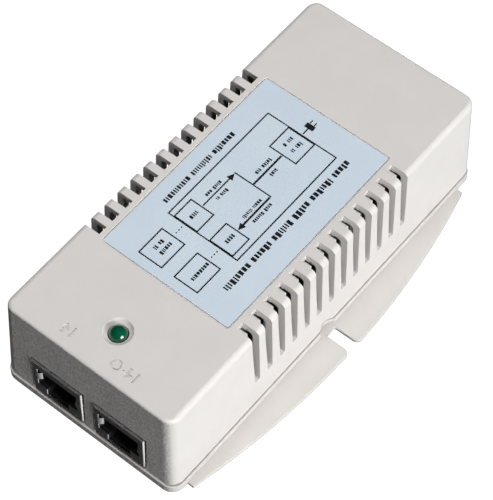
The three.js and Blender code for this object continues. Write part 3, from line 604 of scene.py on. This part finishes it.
def vent_row(side):
    """Cutter for one row of vents.

    Slots on the right, over +X, have a round shoulder on the side nearest the jacks, and a narrow
    bevel on the other side. On the wall the shoulder slants, so that a slot narrows downwards.
    Slots on the left are square.
    """
    half = VENT_WIDTH / 2
    through, wall_through = 4, 2.4
    plain = vent_section(through, through, VENT_BOTTOM)
    sections = [(-half, plain), (half, plain)]
    if side > 0:
        steps = []
        for run in (0, 0.12, 0.24, 0.34, 0.35, 0.6, 0.85, 1.05, VENT_SHOULDER - 0.01):
            bottom = VENT_BOTTOM + max(0, VENT_SLANT_RUN - run) * VENT_SLANT
            steps.append((run - half, round_depth(run, VENT_ROUND, through),
                          round_depth(run, VENT_WALL_ROUND, wall_through), bottom))
        steps.append((VENT_SHOULDER - half, through, through, VENT_BOTTOM))
        for run, roof_depth, wall_depth in ((0.46, through, through), (0.45, WALL, through),
                                            (0.31, 1.24, through), (0.3, 1.2, WALL), (0, 0, 0)):
            steps.append((half - run, roof_depth, wall_depth, VENT_BOTTOM))
        sections = [(offset, vent_section(roof_depth - 0.02, wall_depth - 0.02, bottom))
                    for offset, roof_depth, wall_depth, bottom in steps]
    cutters = []
    for index in range(VENTS):
        middle = (index - (VENTS - 1) / 2) * VENT_PITCH
        rings = [[(side * x, middle + offset, z) for x, z in outline]
                 for offset, outline in sections]
        cutters.append(loft("vent", rings))
    return join_meshes("vents", cutters)


def wall_window(name, low_x, high_x, low_z, high_z, end):
    """Cutter for a window in an end wall, with a broken edge round its mouth."""
    centre_x, centre_z = (low_x + high_x) / 2, (low_z + high_z) / 2
    rings = []
    for offset, extra in ((-8, 0), (-BREAK, 0), (0.02, BREAK), (4, BREAK)):
        half_x, half_z = (high_x - low_x) / 2 + extra, (high_z - low_z) / 2 + extra
        outline = [(centre_x + sx * half_x, centre_z + sz * half_z)
                   for sx, sz in ((-1, -1), (1, -1), (1, 1), (-1, 1))]
        rings.append([(x, end * (HALF_LENGTH + lean_at(z) + offset), z) for x, z in outline])
    return loft(name, rings)


def scallop(side):
    """Screwdriver clearance over an ear's slot: a bore with a tall domed top."""
    radius, top, x = 3.8, 10.2, side * 29.9
    stretch = 1.3
    shoulder = top - stretch * radius
    profile = [(0, EAR_THICKNESS), (radius, EAR_THICKNESS)]
    profile += [(r, shoulder + stretch * z) for r, z in arc(0, 0, radius, 0, 90, 12)]
    profile[-1] = (0, top)
    return turn_ring("scallop", profile, (x, EAR_Y), 56)


def roof_marks():
    """Cutters for the marks on the roof.

    Input has an arrow towards a bar. Output has a ring, and an arrow away from a bar.
    """
    base, above = ROOF_Z - MARK_DEPTH, 40
    half, stem = 1.5, 0.4
    marks = []
    for port, turn, shift in (("in", 1, 0), ("out", -1, 0.4)):
        x = MARK_X[port] + shift
        arrow = [(0, half), (half, 0), (stem, 0), (stem, -half), (-stem, -half), (-stem, 0),
                 (-half, 0)]
        outline = [(x + turn * u, MARK_Y + turn * v) for u, v in arrow]
        marks.append(raise_outline("mark", outline, base, above))
        marks.append(block("mark", (x + 2.1, MARK_Y - half, base), (x + 2.7, MARK_Y + half, above)))
    ring_x = MARK_X["out"] - 3.1
    ring = [(1.0, base), (half, base), (half, above), (1.0, above), (1.0, base)]
    marks.append(turn_ring("mark", ring, (ring_x, MARK_Y), 40))
    return marks


def screw_places():
    for sx in (-1, 1):
        for sy in (-1, 1):
            yield sx, sx * SCREW_X, sy * SCREW_Y


def shell_openings():
    """Cutters for the label's pocket, the lamp's recess, and the jack and inlet windows."""
    half_x, half_y = LABEL_HALF_X + LABEL_MARGIN, LABEL_HALF_Y + LABEL_MARGIN
    levels = ((ROOF_Z - 0.45, 0), (ROOF_Z - 0.15, 0), (ROOF_Z + 0.01, 0.16), (ROOF_Z + 2, 0.16))
    rings = []
    for z, grow in levels:
        outline = rounded(half_x + grow, half_y + grow, 0.8 + grow, 6)
        rings.append([(x, y + LABEL_MIDDLE_Y, z) for x, y in outline])
    pocket = loft("pocket", rings)

    rim = 3.85
    recess = turn_ring("lamp_recess", [
        (0, 25), (2.6, 25), (2.6, ROOF_Z - 1.0), (2.75, ROOF_Z - 0.95), (3.3, ROOF_Z - 0.72),
        (3.6, ROOF_Z - 0.35), (3.75, ROOF_Z - 0.08), (rim, ROOF_Z + 0.01), (rim, 40), (0, 40)],
        LAMP_CENTRE, 64)

    windows = []
    for port in ("in", "out"):
        low, high = size_of(f"jack_shield_{port}")
        windows.append(wall_window("port", low.x - GAP, high.x + GAP, 0, high.z + GAP, -1))
    windows.append(wall_window("inlet_hole", -INLET_HALF_X - GAP, INLET_HALF_X + GAP,
                               INLET_MIDDLE_Z - INLET_HALF_Z - GAP,
                               INLET_MIDDLE_Z + INLET_HALF_Z + GAP, 1))
    return [pocket, recess] + windows


def build_upper_shell():
    shell = case_skin()
    ceiling = ROOF_Z - WALL
    hollow = loft("hollow", [case_ring(0, WALL), case_ring(ceiling - 0.5, WALL),
                             case_ring(ceiling, WALL + 0.5)])
    combine(shell, [hollow])
    bosses = []
    for sx, x, y in screw_places():
        bosses.append(bar("boss", x, y, 3.0, 4.8, ceiling + 0.4))
        start, end = sorted((x, sx * 26))
        bosses.append(block("web", (start, y - 0.75, 12), (end, y + 0.75, ceiling + 0.4)))
    combine(shell, bosses, "UNION")
    combine(shell, [bar("bore", x, y, SCREW_SHANK, 2, 19) for _, x, y in screw_places()])
    combine(shell, [vent_row(1), vent_row(-1)] + shell_openings()
            + [scallop(1), scallop(-1)] + roof_marks())
    finish_piece(shell, CASE_PLASTIC, "case_plastic", stands_for=["upper_shell"])


def ear_outline():
    """One wall ear from above: a shallow arc with a slot that opens outwards at its middle."""
    sag = EAR_REACH - EAR_TIP
    radius = (EAR_HALF_LENGTH ** 2 + sag ** 2) / (2 * sag)
    centre = EAR_REACH - radius
    half = SLOT_WIDTH / 2
    tip = math.degrees(math.asin(EAR_HALF_LENGTH / radius))
    tab = math.degrees(math.asin((half + TAB_CORNER) / radius))
    mouth = centre + math.sqrt(radius ** 2 - (half + TAB_CORNER) ** 2) - TAB_CORNER
    return ([(HALF_WIDTH - 2, EAR_Y - EAR_HALF_LENGTH)] + arc(centre, EAR_Y, radius, -tip, -tab, 28)
            + arc(mouth, EAR_Y - half - TAB_CORNER, TAB_CORNER, 8, 90, 8)
            + arc(SLOT_END + 0.5, EAR_Y - half + 0.5, 0.5, -90, -180, 4)
            + arc(SLOT_END + 0.5, EAR_Y + half - 0.5, 0.5, -180, -270, 4)
            + arc(mouth, EAR_Y + half + TAB_CORNER, TAB_CORNER, -90, -8, 8)
            + arc(centre, EAR_Y, radius, tab, tip, 28)
            + [(HALF_WIDTH - 2, EAR_Y + EAR_HALF_LENGTH)])


def make_ear(side):
    """One ear with a round edge, and a shallow step down at its back end."""
    outline = [(side * x, y) for x, y in ear_outline()]
    ear = raise_outline("ear", outline, 0, EAR_THICKNESS)
    break_edges(ear, 0.18, 3, 60, lambda edge: abs(edge.verts[0].co.z - edge.verts[1].co.z) < 1e-6)
    start, end = sorted((side * 20, side * 40))
    return combine(ear, [block("step", (start, 47.6, EAR_THICKNESS - 0.12), (end, 60, 4))])


def tray_skin(reach, edge, top):
    """Solid block of the lower shell, with round edges at its foot and top."""
    radius = CORNER + 0.6

    def ring(z, inset):
        outline = rounded(HALF_WIDTH + reach - inset, HALF_LENGTH + reach - inset,
                          radius - inset, 14)
        return [(x, y, z) for x, y in outline]

    drops = [(edge * (1 - math.sin(math.radians(a))), edge * (1 - math.cos(math.radians(a))))
             for a in (90, 60, 30, 0)]
    rings = [ring(drop, inset) for drop, inset in drops]
    rings += [ring(top - drop, inset) for drop, inset in reversed(drops)]
    return loft("lower_shell_skin", rings)


def build_lower_shell():
    reach = FLARE + 0.3                       # how far it stands out from the roof's outline
    edge = 0.3
    top = 2.6
    shell = tray_skin(reach, edge, top)
    inside = rounded(HALF_WIDTH + reach - 2.1, HALF_LENGTH + reach - 2.1, 1.6, 6)
    combine(shell, [raise_outline("tray", inside, 1.2, 4)])

    lip_x, lip_y = HALF_WIDTH + FLARE - WALL - GAP, HALF_LENGTH + FLARE - WALL - GAP
    lip = raise_outline("lip", rounded(lip_x, lip_y, 1.4, 6), 0.8, 4.2)
    combine(lip, [raise_outline("gap", rounded(lip_x - 1, lip_y - 1, 0.8, 6), 0, 6)])
    windows = []
    for port in ("in", "out"):
        low, high = size_of(f"jack_shield_{port}")
        windows.append(block("window", (low.x - GAP, -HALF_LENGTH - 3, 3.1),
                             (high.x + GAP, -HALF_LENGTH + 6, 6)))
    for _, x, y in screw_places():
        windows.append(block("window", (x - 4, y - 4, 3.2), (x + 4, y + 4, 6)))
    combine(lip, windows)
    combine(shell, [lip, make_ear(1), make_ear(-1)], "UNION")

    head_depth = 2.2
    sink = [(0, -1), (3.1, -1), (3.1, 0), (2.9, 0.2), (2.9, head_depth),
            (SCREW_SHANK, head_depth), (SCREW_SHANK, 6), (0, 6)]
    for sx, x, y in screw_places():
        pad = bar("pad", x, y, 3.7, 0.6, 4.4, 40)
        start, end = sorted((sx * lip_x, sx * 40))
        combine(pad, [block("trim", (start, y - 5, top), (end, y + 5, 6))])
        combine(shell, [pad], "UNION")
        combine(shell, [turn_ring("sink", sink, (x, y), 40)])
    rests = ((0, -38), (0, 38), (-20, 0), (20, 0))
    combine(shell, [bar("rest", x, y, 1.8, 0.8, 1.5, 20) for x, y in rests], "UNION")
    combine(shell, [scallop(1), scallop(-1)])
    finish_piece(shell, BASE_PLASTIC, "case_plastic", stands_for=["lower_shell"])


# ------------------------------------------------------------------ label

INK_LOW = LABEL_HIGH.z + 0.004
INK_HIGH = LABEL_HIGH.z + 0.03
LINE = 0.36                                   # width of the frames and thin lines
THICK_LINE = 0.54                             # and of the two thick ones
SUPPLY_X, OUTPUT_X, INPUT_X = -1.5, 4.0, -7.1


def ink_box(low_x, low_y, high_x, high_y):
    return block("ink", (low_x, low_y, INK_LOW), (high_x, high_y, INK_HIGH))


def ink_line(x, low_y, high_y, width=LINE):
    return ink_box(x - width / 2, low_y, x + width / 2, high_y)


def ink_frame(low_x, low_y, high_x, high_y):
    """Outline of a rectangle, as four strips that do not touch."""
    return [ink_box(low_x, low_y, low_x + LINE, high_y),
            ink_box(high_x - LINE, low_y, high_x, high_y),
            ink_box(low_x + LINE, low_y, high_x - LINE, low_y + LINE),
            ink_box(low_x + LINE, high_y - LINE, high_x - LINE, high_y)]


def ink_arrow(x, tip_y, direction):
    half, length = 0.95, 2.0
    base_y = tip_y - direction * length
    return raise_outline("ink", [(x, tip_y), (x - half, base_y), (x + half, base_y)],
                         INK_LOW, INK_HIGH)


def ink_words(x, low_y, high_y, height, seed, longest):
    """A line of small plain blocks in place of words, running along Y."""
    draw = random.Random(seed)
    blocks = []
    y = high_y
    while y > low_y + 1:
        word_end = max(low_y, y - draw.uniform(0.35, 1) * longest)
        while y > word_end + 0.3 * height:
            width = height * draw.choice((0.2, 0.32, 0.46))
            tall = height * draw.choice((0.34, 0.34, 0.38, 0.52))
            blocks.append(ink_box(x - height * 0.34, y - width, x + tall, y))
            y -= width + height * 0.17
        y -= height * 0.45
    return blocks


def label_diagram():
    """Frames, lines and arrows of the block diagram, from the mains plug to the jacks' far ends."""
    strips = ink_frame(-12.4, -15.5, 9.5, 23.7)
    strips += ink_frame(SUPPLY_X - 4.2, 15.6, SUPPLY_X + 4.4, 23.45)
    for x in (INPUT_X, OUTPUT_X):
        strips += ink_frame(x - 3.6, -15.25, x + 3.9, -8.6)
        strips += ink_frame(x - 3.6, -28.6, x + 3.9, -19.6)
        strips += [ink_line(x, y - 0.2, y + 0.2, 0.3) for y in (-16.5, -17.5, -18.5)]
    strips.append(ink_line(SUPPLY_X, 4.4, 15.4, THICK_LINE))
    strips.append(ink_box(INPUT_X - LINE / 2, 4.0, OUTPUT_X + LINE / 2, 4.0 + LINE))
    strips.append(ink_line(OUTPUT_X, -6.6, 3.9, THICK_LINE))
    strips.append(ink_line(INPUT_X, -8.4, 1.9))
    strips.append(ink_arrow(OUTPUT_X, -8.5, -1))
    strips.append(ink_arrow(INPUT_X, 3.9, 1))
    strips.append(ink_line(SUPPLY_X, 24.0, 26.0))
    strips.append(ink_line(SUPPLY_X, 26.05, 27.6, 2.6))
    strips += [ink_line(SUPPLY_X + side * 0.65, 27.65, 28.8, 0.3) for side in (-1, 1)]
    return strips


def label_words():
    """Rows of plain blocks: place in X, ends in Y, height, seed and longest word."""
    rows = [
        (12.2, -24.3, 24.4, 2.1, 3, 12),
        (-15.1, -13.6, 13.2, 1.9, 5, 10),
        (SUPPLY_X + 1.2, 17.4, 21.6, 1.5, 7, 4),
        (SUPPLY_X - 1.4, 17.8, 21.4, 1.5, 8, 4),
        (SUPPLY_X + 1.5, 7.6, 11.5, 1.3, 9, 4),
        (SUPPLY_X - 1.6, 6.6, 13.0, 1.3, 10, 5),
        (INPUT_X + 1.4, -5.0, -0.8, 1.2, 11, 4),
        (INPUT_X - 1.3, -5.6, 0.0, 1.2, 12, 5),
        (OUTPUT_X - 1.3, -5.4, 2.0, 1.2, 13, 6),
        (OUTPUT_X + 1.4, -5.8, 2.6, 1.2, 14, 7),
        (INPUT_X, -13.4, -10.6, 1.6, 15, 5),
        (OUTPUT_X, -13.9, -10.2, 1.6, 16, 5),
        (INPUT_X + 0.9, -27.0, -21.6, 1.4, 17, 6),
        (INPUT_X - 1.2, -26.0, -22.2, 1.4, 18, 4),
        (OUTPUT_X + 0.4, -27.8, -20.4, 1.4, 19, 8),
    ]
    return [strip for row in rows for strip in ink_words(*row)]


def build_label():
    rings = []
    for z, inset in ((LABEL_LOW.z, 0), (LABEL_HIGH.z - 0.05, 0), (LABEL_HIGH.z, 0.05)):
        outline = rounded(LABEL_HALF_X - inset, LABEL_HALF_Y - inset, 0.6 - inset, 6)
        rings.append([(x, y + LABEL_MIDDLE_Y, z) for x, y in outline])
    finish_piece(loft("label_sheet", rings), LABEL_FILM, "label_film", stands_for=["label"])
    strips = label_diagram() + label_words()
    finish_piece(join_meshes("label_print", strips), LABEL_INK, "label_film")


# ------------------------------------------------------------------ lamp


def build_lamp():
    """A round lens on a flange, as on a 5 mm lamp."""
    radius, flange = 2.5, (LAMP_HIGH.x - LAMP_LOW.x) / 2
    dome = LAMP_HIGH.z - radius
    foot = LAMP_LOW.z
    profile = [(0, foot), (flange - 0.15, foot), (flange, foot + 0.15), (flange, foot + 0.85),
               (flange - 0.15, foot + 1), (radius + 0.1, foot + 1), (radius, foot + 1.15)]
    profile += arc(0, dome, radius, 0, 90, 20)
    profile[-1] = (0, LAMP_HIGH.z)
    lens = turn_ring("lamp_dome", profile, LAMP_CENTRE, 72)
    finish_piece(lens, LAMP_EPOXY, "lamp_epoxy", stands_for=["lamp_lens"])


# ------------------------------------------------------------------ network jacks

PLUG_TOP = 10.3                               # heights over the foot of the jack
PLUG_BOTTOM = 3.4
PLUG_HALF = 6.0
LATCH_HALF = 3.2
LATCH_FLOOR = 0.9
SHEET = 0.4                                   # thickness of the shield


def plug_outline(x, floor, grow):
    half, latch = PLUG_HALF + grow, LATCH_HALF + grow
    return [(x - half, floor + PLUG_BOTTOM - grow), (x - latch, floor + PLUG_BOTTOM - grow),
            (x - latch, floor + LATCH_FLOOR - grow), (x + latch, floor + LATCH_FLOOR - grow),
            (x + latch, floor + PLUG_BOTTOM - grow), (x + half, floor + PLUG_BOTTOM - grow),
            (x + half, floor + PLUG_TOP + grow), (x - half, floor + PLUG_TOP + grow)]


def plug_space(x, floor, levels):
    """Cutter shaped like the plug opening; levels are (Y, growth)."""
    rings = []
    for y, grow in levels:
        rings.append([(u, y, v) for u, v in plug_outline(x, floor, grow)])
    return loft("plug", rings)


def side_fingers(x, floor, front):
    """Bent springs at both sides of the plug opening, seen from above as a path."""
    path = [(0, 0.02), (0.45, 0.02), (1.35, 0.9), (1.3, 1.4), (0.6, 3.2), (0.3, 3.2),
            (0.95, 1.3), (0.95, 1.0), (0.4, 0.4), (0, 0.4)]
    fingers = []
    for side in (-1, 1):
        root = x + side * (PLUG_HALF + 0.55)
        outline = [(root - side * u, front + v) for u, v in path]
        fingers.append(raise_outline("finger", outline, floor + 5.6, floor + 8.5))
    return fingers


def build_shield(port):
    low, high = size_of(f"jack_shield_{port}")
    x, floor, front = (low.x + high.x) / 2, low.z, low.y

    def upright_at_front(edge):
        ends = [vertex.co for vertex in edge.verts]
        return max(end.y for end in ends) < (front + 0.1) * MM and abs(ends[0].z - ends[1].z) > MM

    shield = block("jack_shell_" + port, low, high)
    break_edges(shield, 0.85, 6, 30, upright_at_front)
    inner = block("inner", (low.x + SHEET, front + SHEET, low.z + SHEET),
                  (high.x - SHEET, high.y + 1, high.z - SHEET))
    mouth = plug_space(x, floor, [(front - 1, 0.5), (front - 0.02, 0.5), (front + 0.25, 0.25),
                                  (front + SHEET + 0.5, 0.25)])
    combine(shield, [inner, mouth])
    combine(shield, side_fingers(x, floor, front), "UNION")
    finish_piece(shield, SHIELD_METAL, "shield_tinplate", stands_for=[f"jack_shield_{port}"])
    return x, floor, front


def build_insert(port, x, floor, front):
    """Black block with the plug's space, room for the side springs, and a comb for the contacts."""
    low, high = size_of(f"jack_insert_{port}")
    insert = block("jack_block_" + port, low, high)
    space = plug_space(x, floor, [(low.y - 1, 0.3), (low.y - 0.01, 0.3), (low.y + 0.4, 0),
                                  (low.y + 12.6, 0)])
    room = block("room", (x - PLUG_HALF - 0.7, low.y - 1, floor + 4.7),
                 (x + PLUG_HALF + 0.7, front + 3.7, floor + 8.9))
    combine(insert, [space, room])
    pitch, half = 1.02, 0.13
    combs = []
    for index in range(9):
        comb_x = x + (index - 4) * pitch
        combs.append(block("comb", (comb_x - half, low.y + 8.6, floor + 8.1),
                           (comb_x + half, low.y + 12.8, floor + 11)))
    combine(insert, combs, "UNION")
    finish_piece(insert, BLACK_PLASTIC, "jack_plastic", stands_for=[f"jack_insert_{port}"])


def build_jack(port):
    x, floor, front = build_shield(port)
    build_insert(port, x, floor, front)
    for index in range(1, 9):
        build_contact(port, index)


def build_contact(port, index):
    """One contact spring: a round bend at the front and a long arm sloping back and down."""
    node = f"contact_{port}_{index}"
    low, high = size_of(node)
    tilt = math.radians(22)
    half = 0.17
    bend_radius = 0.62
    y, z = low.y + bend_radius, high.z - bend_radius
    along = Vector((math.cos(tilt), -math.sin(tilt)))
    across = Vector((math.sin(tilt), math.cos(tilt))) * half
    start = Vector((y, z))
    end = start + along * 8.2
    outline = arc(y, z, bend_radius - 0.02, 92, 202, 10)
    outline += [tuple(start - across), tuple(end - across), tuple(end + along * 0.13),
                tuple(end + across), tuple(start + along * 0.7 + across)]
    spring = along_x("spring_" + node, outline, low.x, high.x)
    break_edges(spring, 0.05, 2, 35)
    finish_piece(spring, GILT, "gilt_contact", body=f"contacts_{port}", stands_for=[node])


# ------------------------------------------------------------------ mains inlet


def inlet_ring(y, half_u, half_v, radius):
    return [(u, y, INLET_MIDDLE_Z + v) for u, v in rounded(half_u, half_v, radius, 6)]


def mouth_ring(y, grow):
    """Six-sided outline of the inlet's mouth, with its two upper corners cut off."""
    u, v, corner = 12.2 + grow, 8.2 + grow, 4.2
    outline = [(-u, -v), (u, -v), (u, v - corner), (u - corner, v), (-u + corner, v),
               (-u, v - corner)]
    return [(x, y, INLET_MIDDLE_Z + z) for x, z in outline]


def build_inlet():
    face, back = INLET_HIGH.y, INLET_LOW.y
    body = loft("inlet_housing", [inlet_ring(back, INLET_HALF_X, INLET_HALF_Z, 1.0),
                                  inlet_ring(face - 0.3, INLET_HALF_X, INLET_HALF_Z, 1.0),
                                  inlet_ring(face, INLET_HALF_X - 0.3, INLET_HALF_Z - 0.3, 0.7)])
    flange_depth = 1.6
    flange_y = face - WALL - flange_depth - 0.6
    flange = loft("flange", [inlet_ring(flange_y, 15.4, 12.0, 2.4),
                             inlet_ring(flange_y + flange_depth, 15.4, 12.0, 2.4)])
    mouth = loft("mouth", [mouth_ring(face - 15, 0), mouth_ring(face - 0.45, 0),
                           mouth_ring(face + 0.01, 0.45), mouth_ring(face + 1, 0.45)])
    combine(body, [flange], "UNION")
    combine(body, [mouth])
    passages = []
    for name in ("line", "neutral", "earth"):
        low, high = size_of(f"inlet_pin_{name}")
        passages.append(block("passage", (low.x - GAP, back - 1, low.z - GAP),
                              (high.x + GAP, face - 14, high.z + GAP)))
    combine(body, passages)
    finish_piece(body, BLACK_PLASTIC, "inlet_plastic", stands_for=["inlet_body"])
    for name in ("line", "neutral", "earth"):
        refined(f"inlet_pin_{name}", PIN_METAL, "pin_brass", 0.25, 3)


# ------------------------------------------------------------------ pieces refined from CAD


def refined(node, material, slot, width, segments=2, least_angle=30):
    """A copy of a CAD solid with clean faces and broken edges, in place of the solid."""
    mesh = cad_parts[node].data.copy()
    mesh.materials.clear()
    shape = bmesh.new()
    shape.from_mesh(mesh)
    bmesh.ops.remove_doubles(shape, verts=shape.verts, dist=1e-7)
    bmesh.ops.dissolve_limit(shape, angle_limit=math.radians(0.5),
                             verts=shape.verts, edges=shape.edges)
    shape.to_mesh(mesh)
    shape.free()
    piece = bpy.data.objects.new("fine_" + node, mesh)
    bpy.context.scene.collection.objects.link(piece)
    break_edges(piece, width, segments, least_angle)
    return finish_piece(piece, material, slot, stands_for=[node], sharp_angle=40)


def build_screws():
    """Case screws: pan heads with a cross recess, and threads in the bosses."""
    for node in (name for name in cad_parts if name.startswith("case_screw_")):
        low, high = size_of(node)
        x, y = (low.x + high.x) / 2, (low.y + high.y) / 2
        head = (high.x - low.x) / 2
        profile = [(0, low.z), (head * 0.55, low.z)]
        profile += [(head - 0.7 + r, low.z + 0.7 + z) for r, z in arc(0, 0, 0.7, -90, 0, 6)]
        profile += [(head, 1.8), (head - 0.1, 1.9), (1.15, 1.9)]
        z = 2.4
        while z < high.z - 1.6:
            profile += [(1.1, z), (1.38, z + 0.35), (1.1, z + 0.7)]
            z += 0.85
        profile += [(1.0, high.z - 0.9), (0, high.z)]
        screw = turn_ring("screw_" + node, profile, (x, y), 36)
        arms = [block("arm", (x - 1.5, y - 0.32, -1), (x + 1.5, y + 0.32, low.z + 0.9)),
                block("arm", (x - 0.32, y - 1.5, -1), (x + 0.32, y + 1.5, low.z + 0.9))]
        combine(screw, arms)
        finish_piece(screw, SCREW_METAL, "screw_steel", stands_for=[node], sharp_angle=35)


def build_inside():
    """Everything on the circuit board, seen only through the vents."""
    plan = [
        ("circuit_board", LAMINATE, "board_laminate", 0.1),
        ("bridge_rectifier", EPOXY, "black_epoxy", 0.3),
        ("controller_chip", EPOXY, "black_epoxy", 0.1),
        ("feedback_optocoupler", EPOXY, "black_epoxy", 0.1),
        ("network_transformer", EPOXY, "black_epoxy", 0.1),
        ("power_device_primary", EPOXY, "black_epoxy", 0.15),
        ("power_device_secondary", EPOXY, "black_epoxy", 0.15),
        ("filter_capacitor", BOX_PLASTIC, "filter_capacitor_case", 0.6),
        ("safety_capacitor", CERAMIC, "disc_ceramic", 0.8),
        ("mains_fuse", FUSE_GLASS, "fuse_glass", 0.2),
        ("bulk_capacitor", SLEEVE, "capacitor_sleeve", 0.15),
        ("output_capacitor_front", SLEEVE, "capacitor_sleeve", 0.15),
        ("output_capacitor_back", SLEEVE, "capacitor_sleeve", 0.15),
        ("output_inductor", FERRITE, "ferrite", 0.2),
        ("transformer_core", FERRITE, "ferrite", 0.4),
        ("transformer_bobbin", BLACK_PLASTIC, "bobbin_plastic", 0.15),
        ("transformer_winding", TAPE, "winding_tape", 0.5),
        ("choke_core", FERRITE, "ferrite", 0.5),
        ("choke_winding_line", ENAMEL, "choke_wire", 0.3),
        ("choke_winding_neutral", ENAMEL, "choke_wire", 0.3),
        ("heat_sink_primary", SINK_METAL, "heat_sink_aluminium", 0.15),
        ("heat_sink_secondary", SINK_METAL, "heat_sink_aluminium", 0.15),
        ("lamp_lead_anode", WIRE_METAL, "tinned_wire", 0.08),
        ("lamp_lead_cathode", WIRE_METAL, "tinned_wire", 0.08),
    ]
    for node, material, slot, width in plan:
        refined(node, material, slot, width)


# ------------------------------------------------------------------ scene

place_camera()
build_studio()
build_upper_shell()
build_lower_shell()
build_label()
build_lamp()
for jack in ("in", "out"):
    build_jack(jack)
build_inlet()
build_screws()
build_inside()
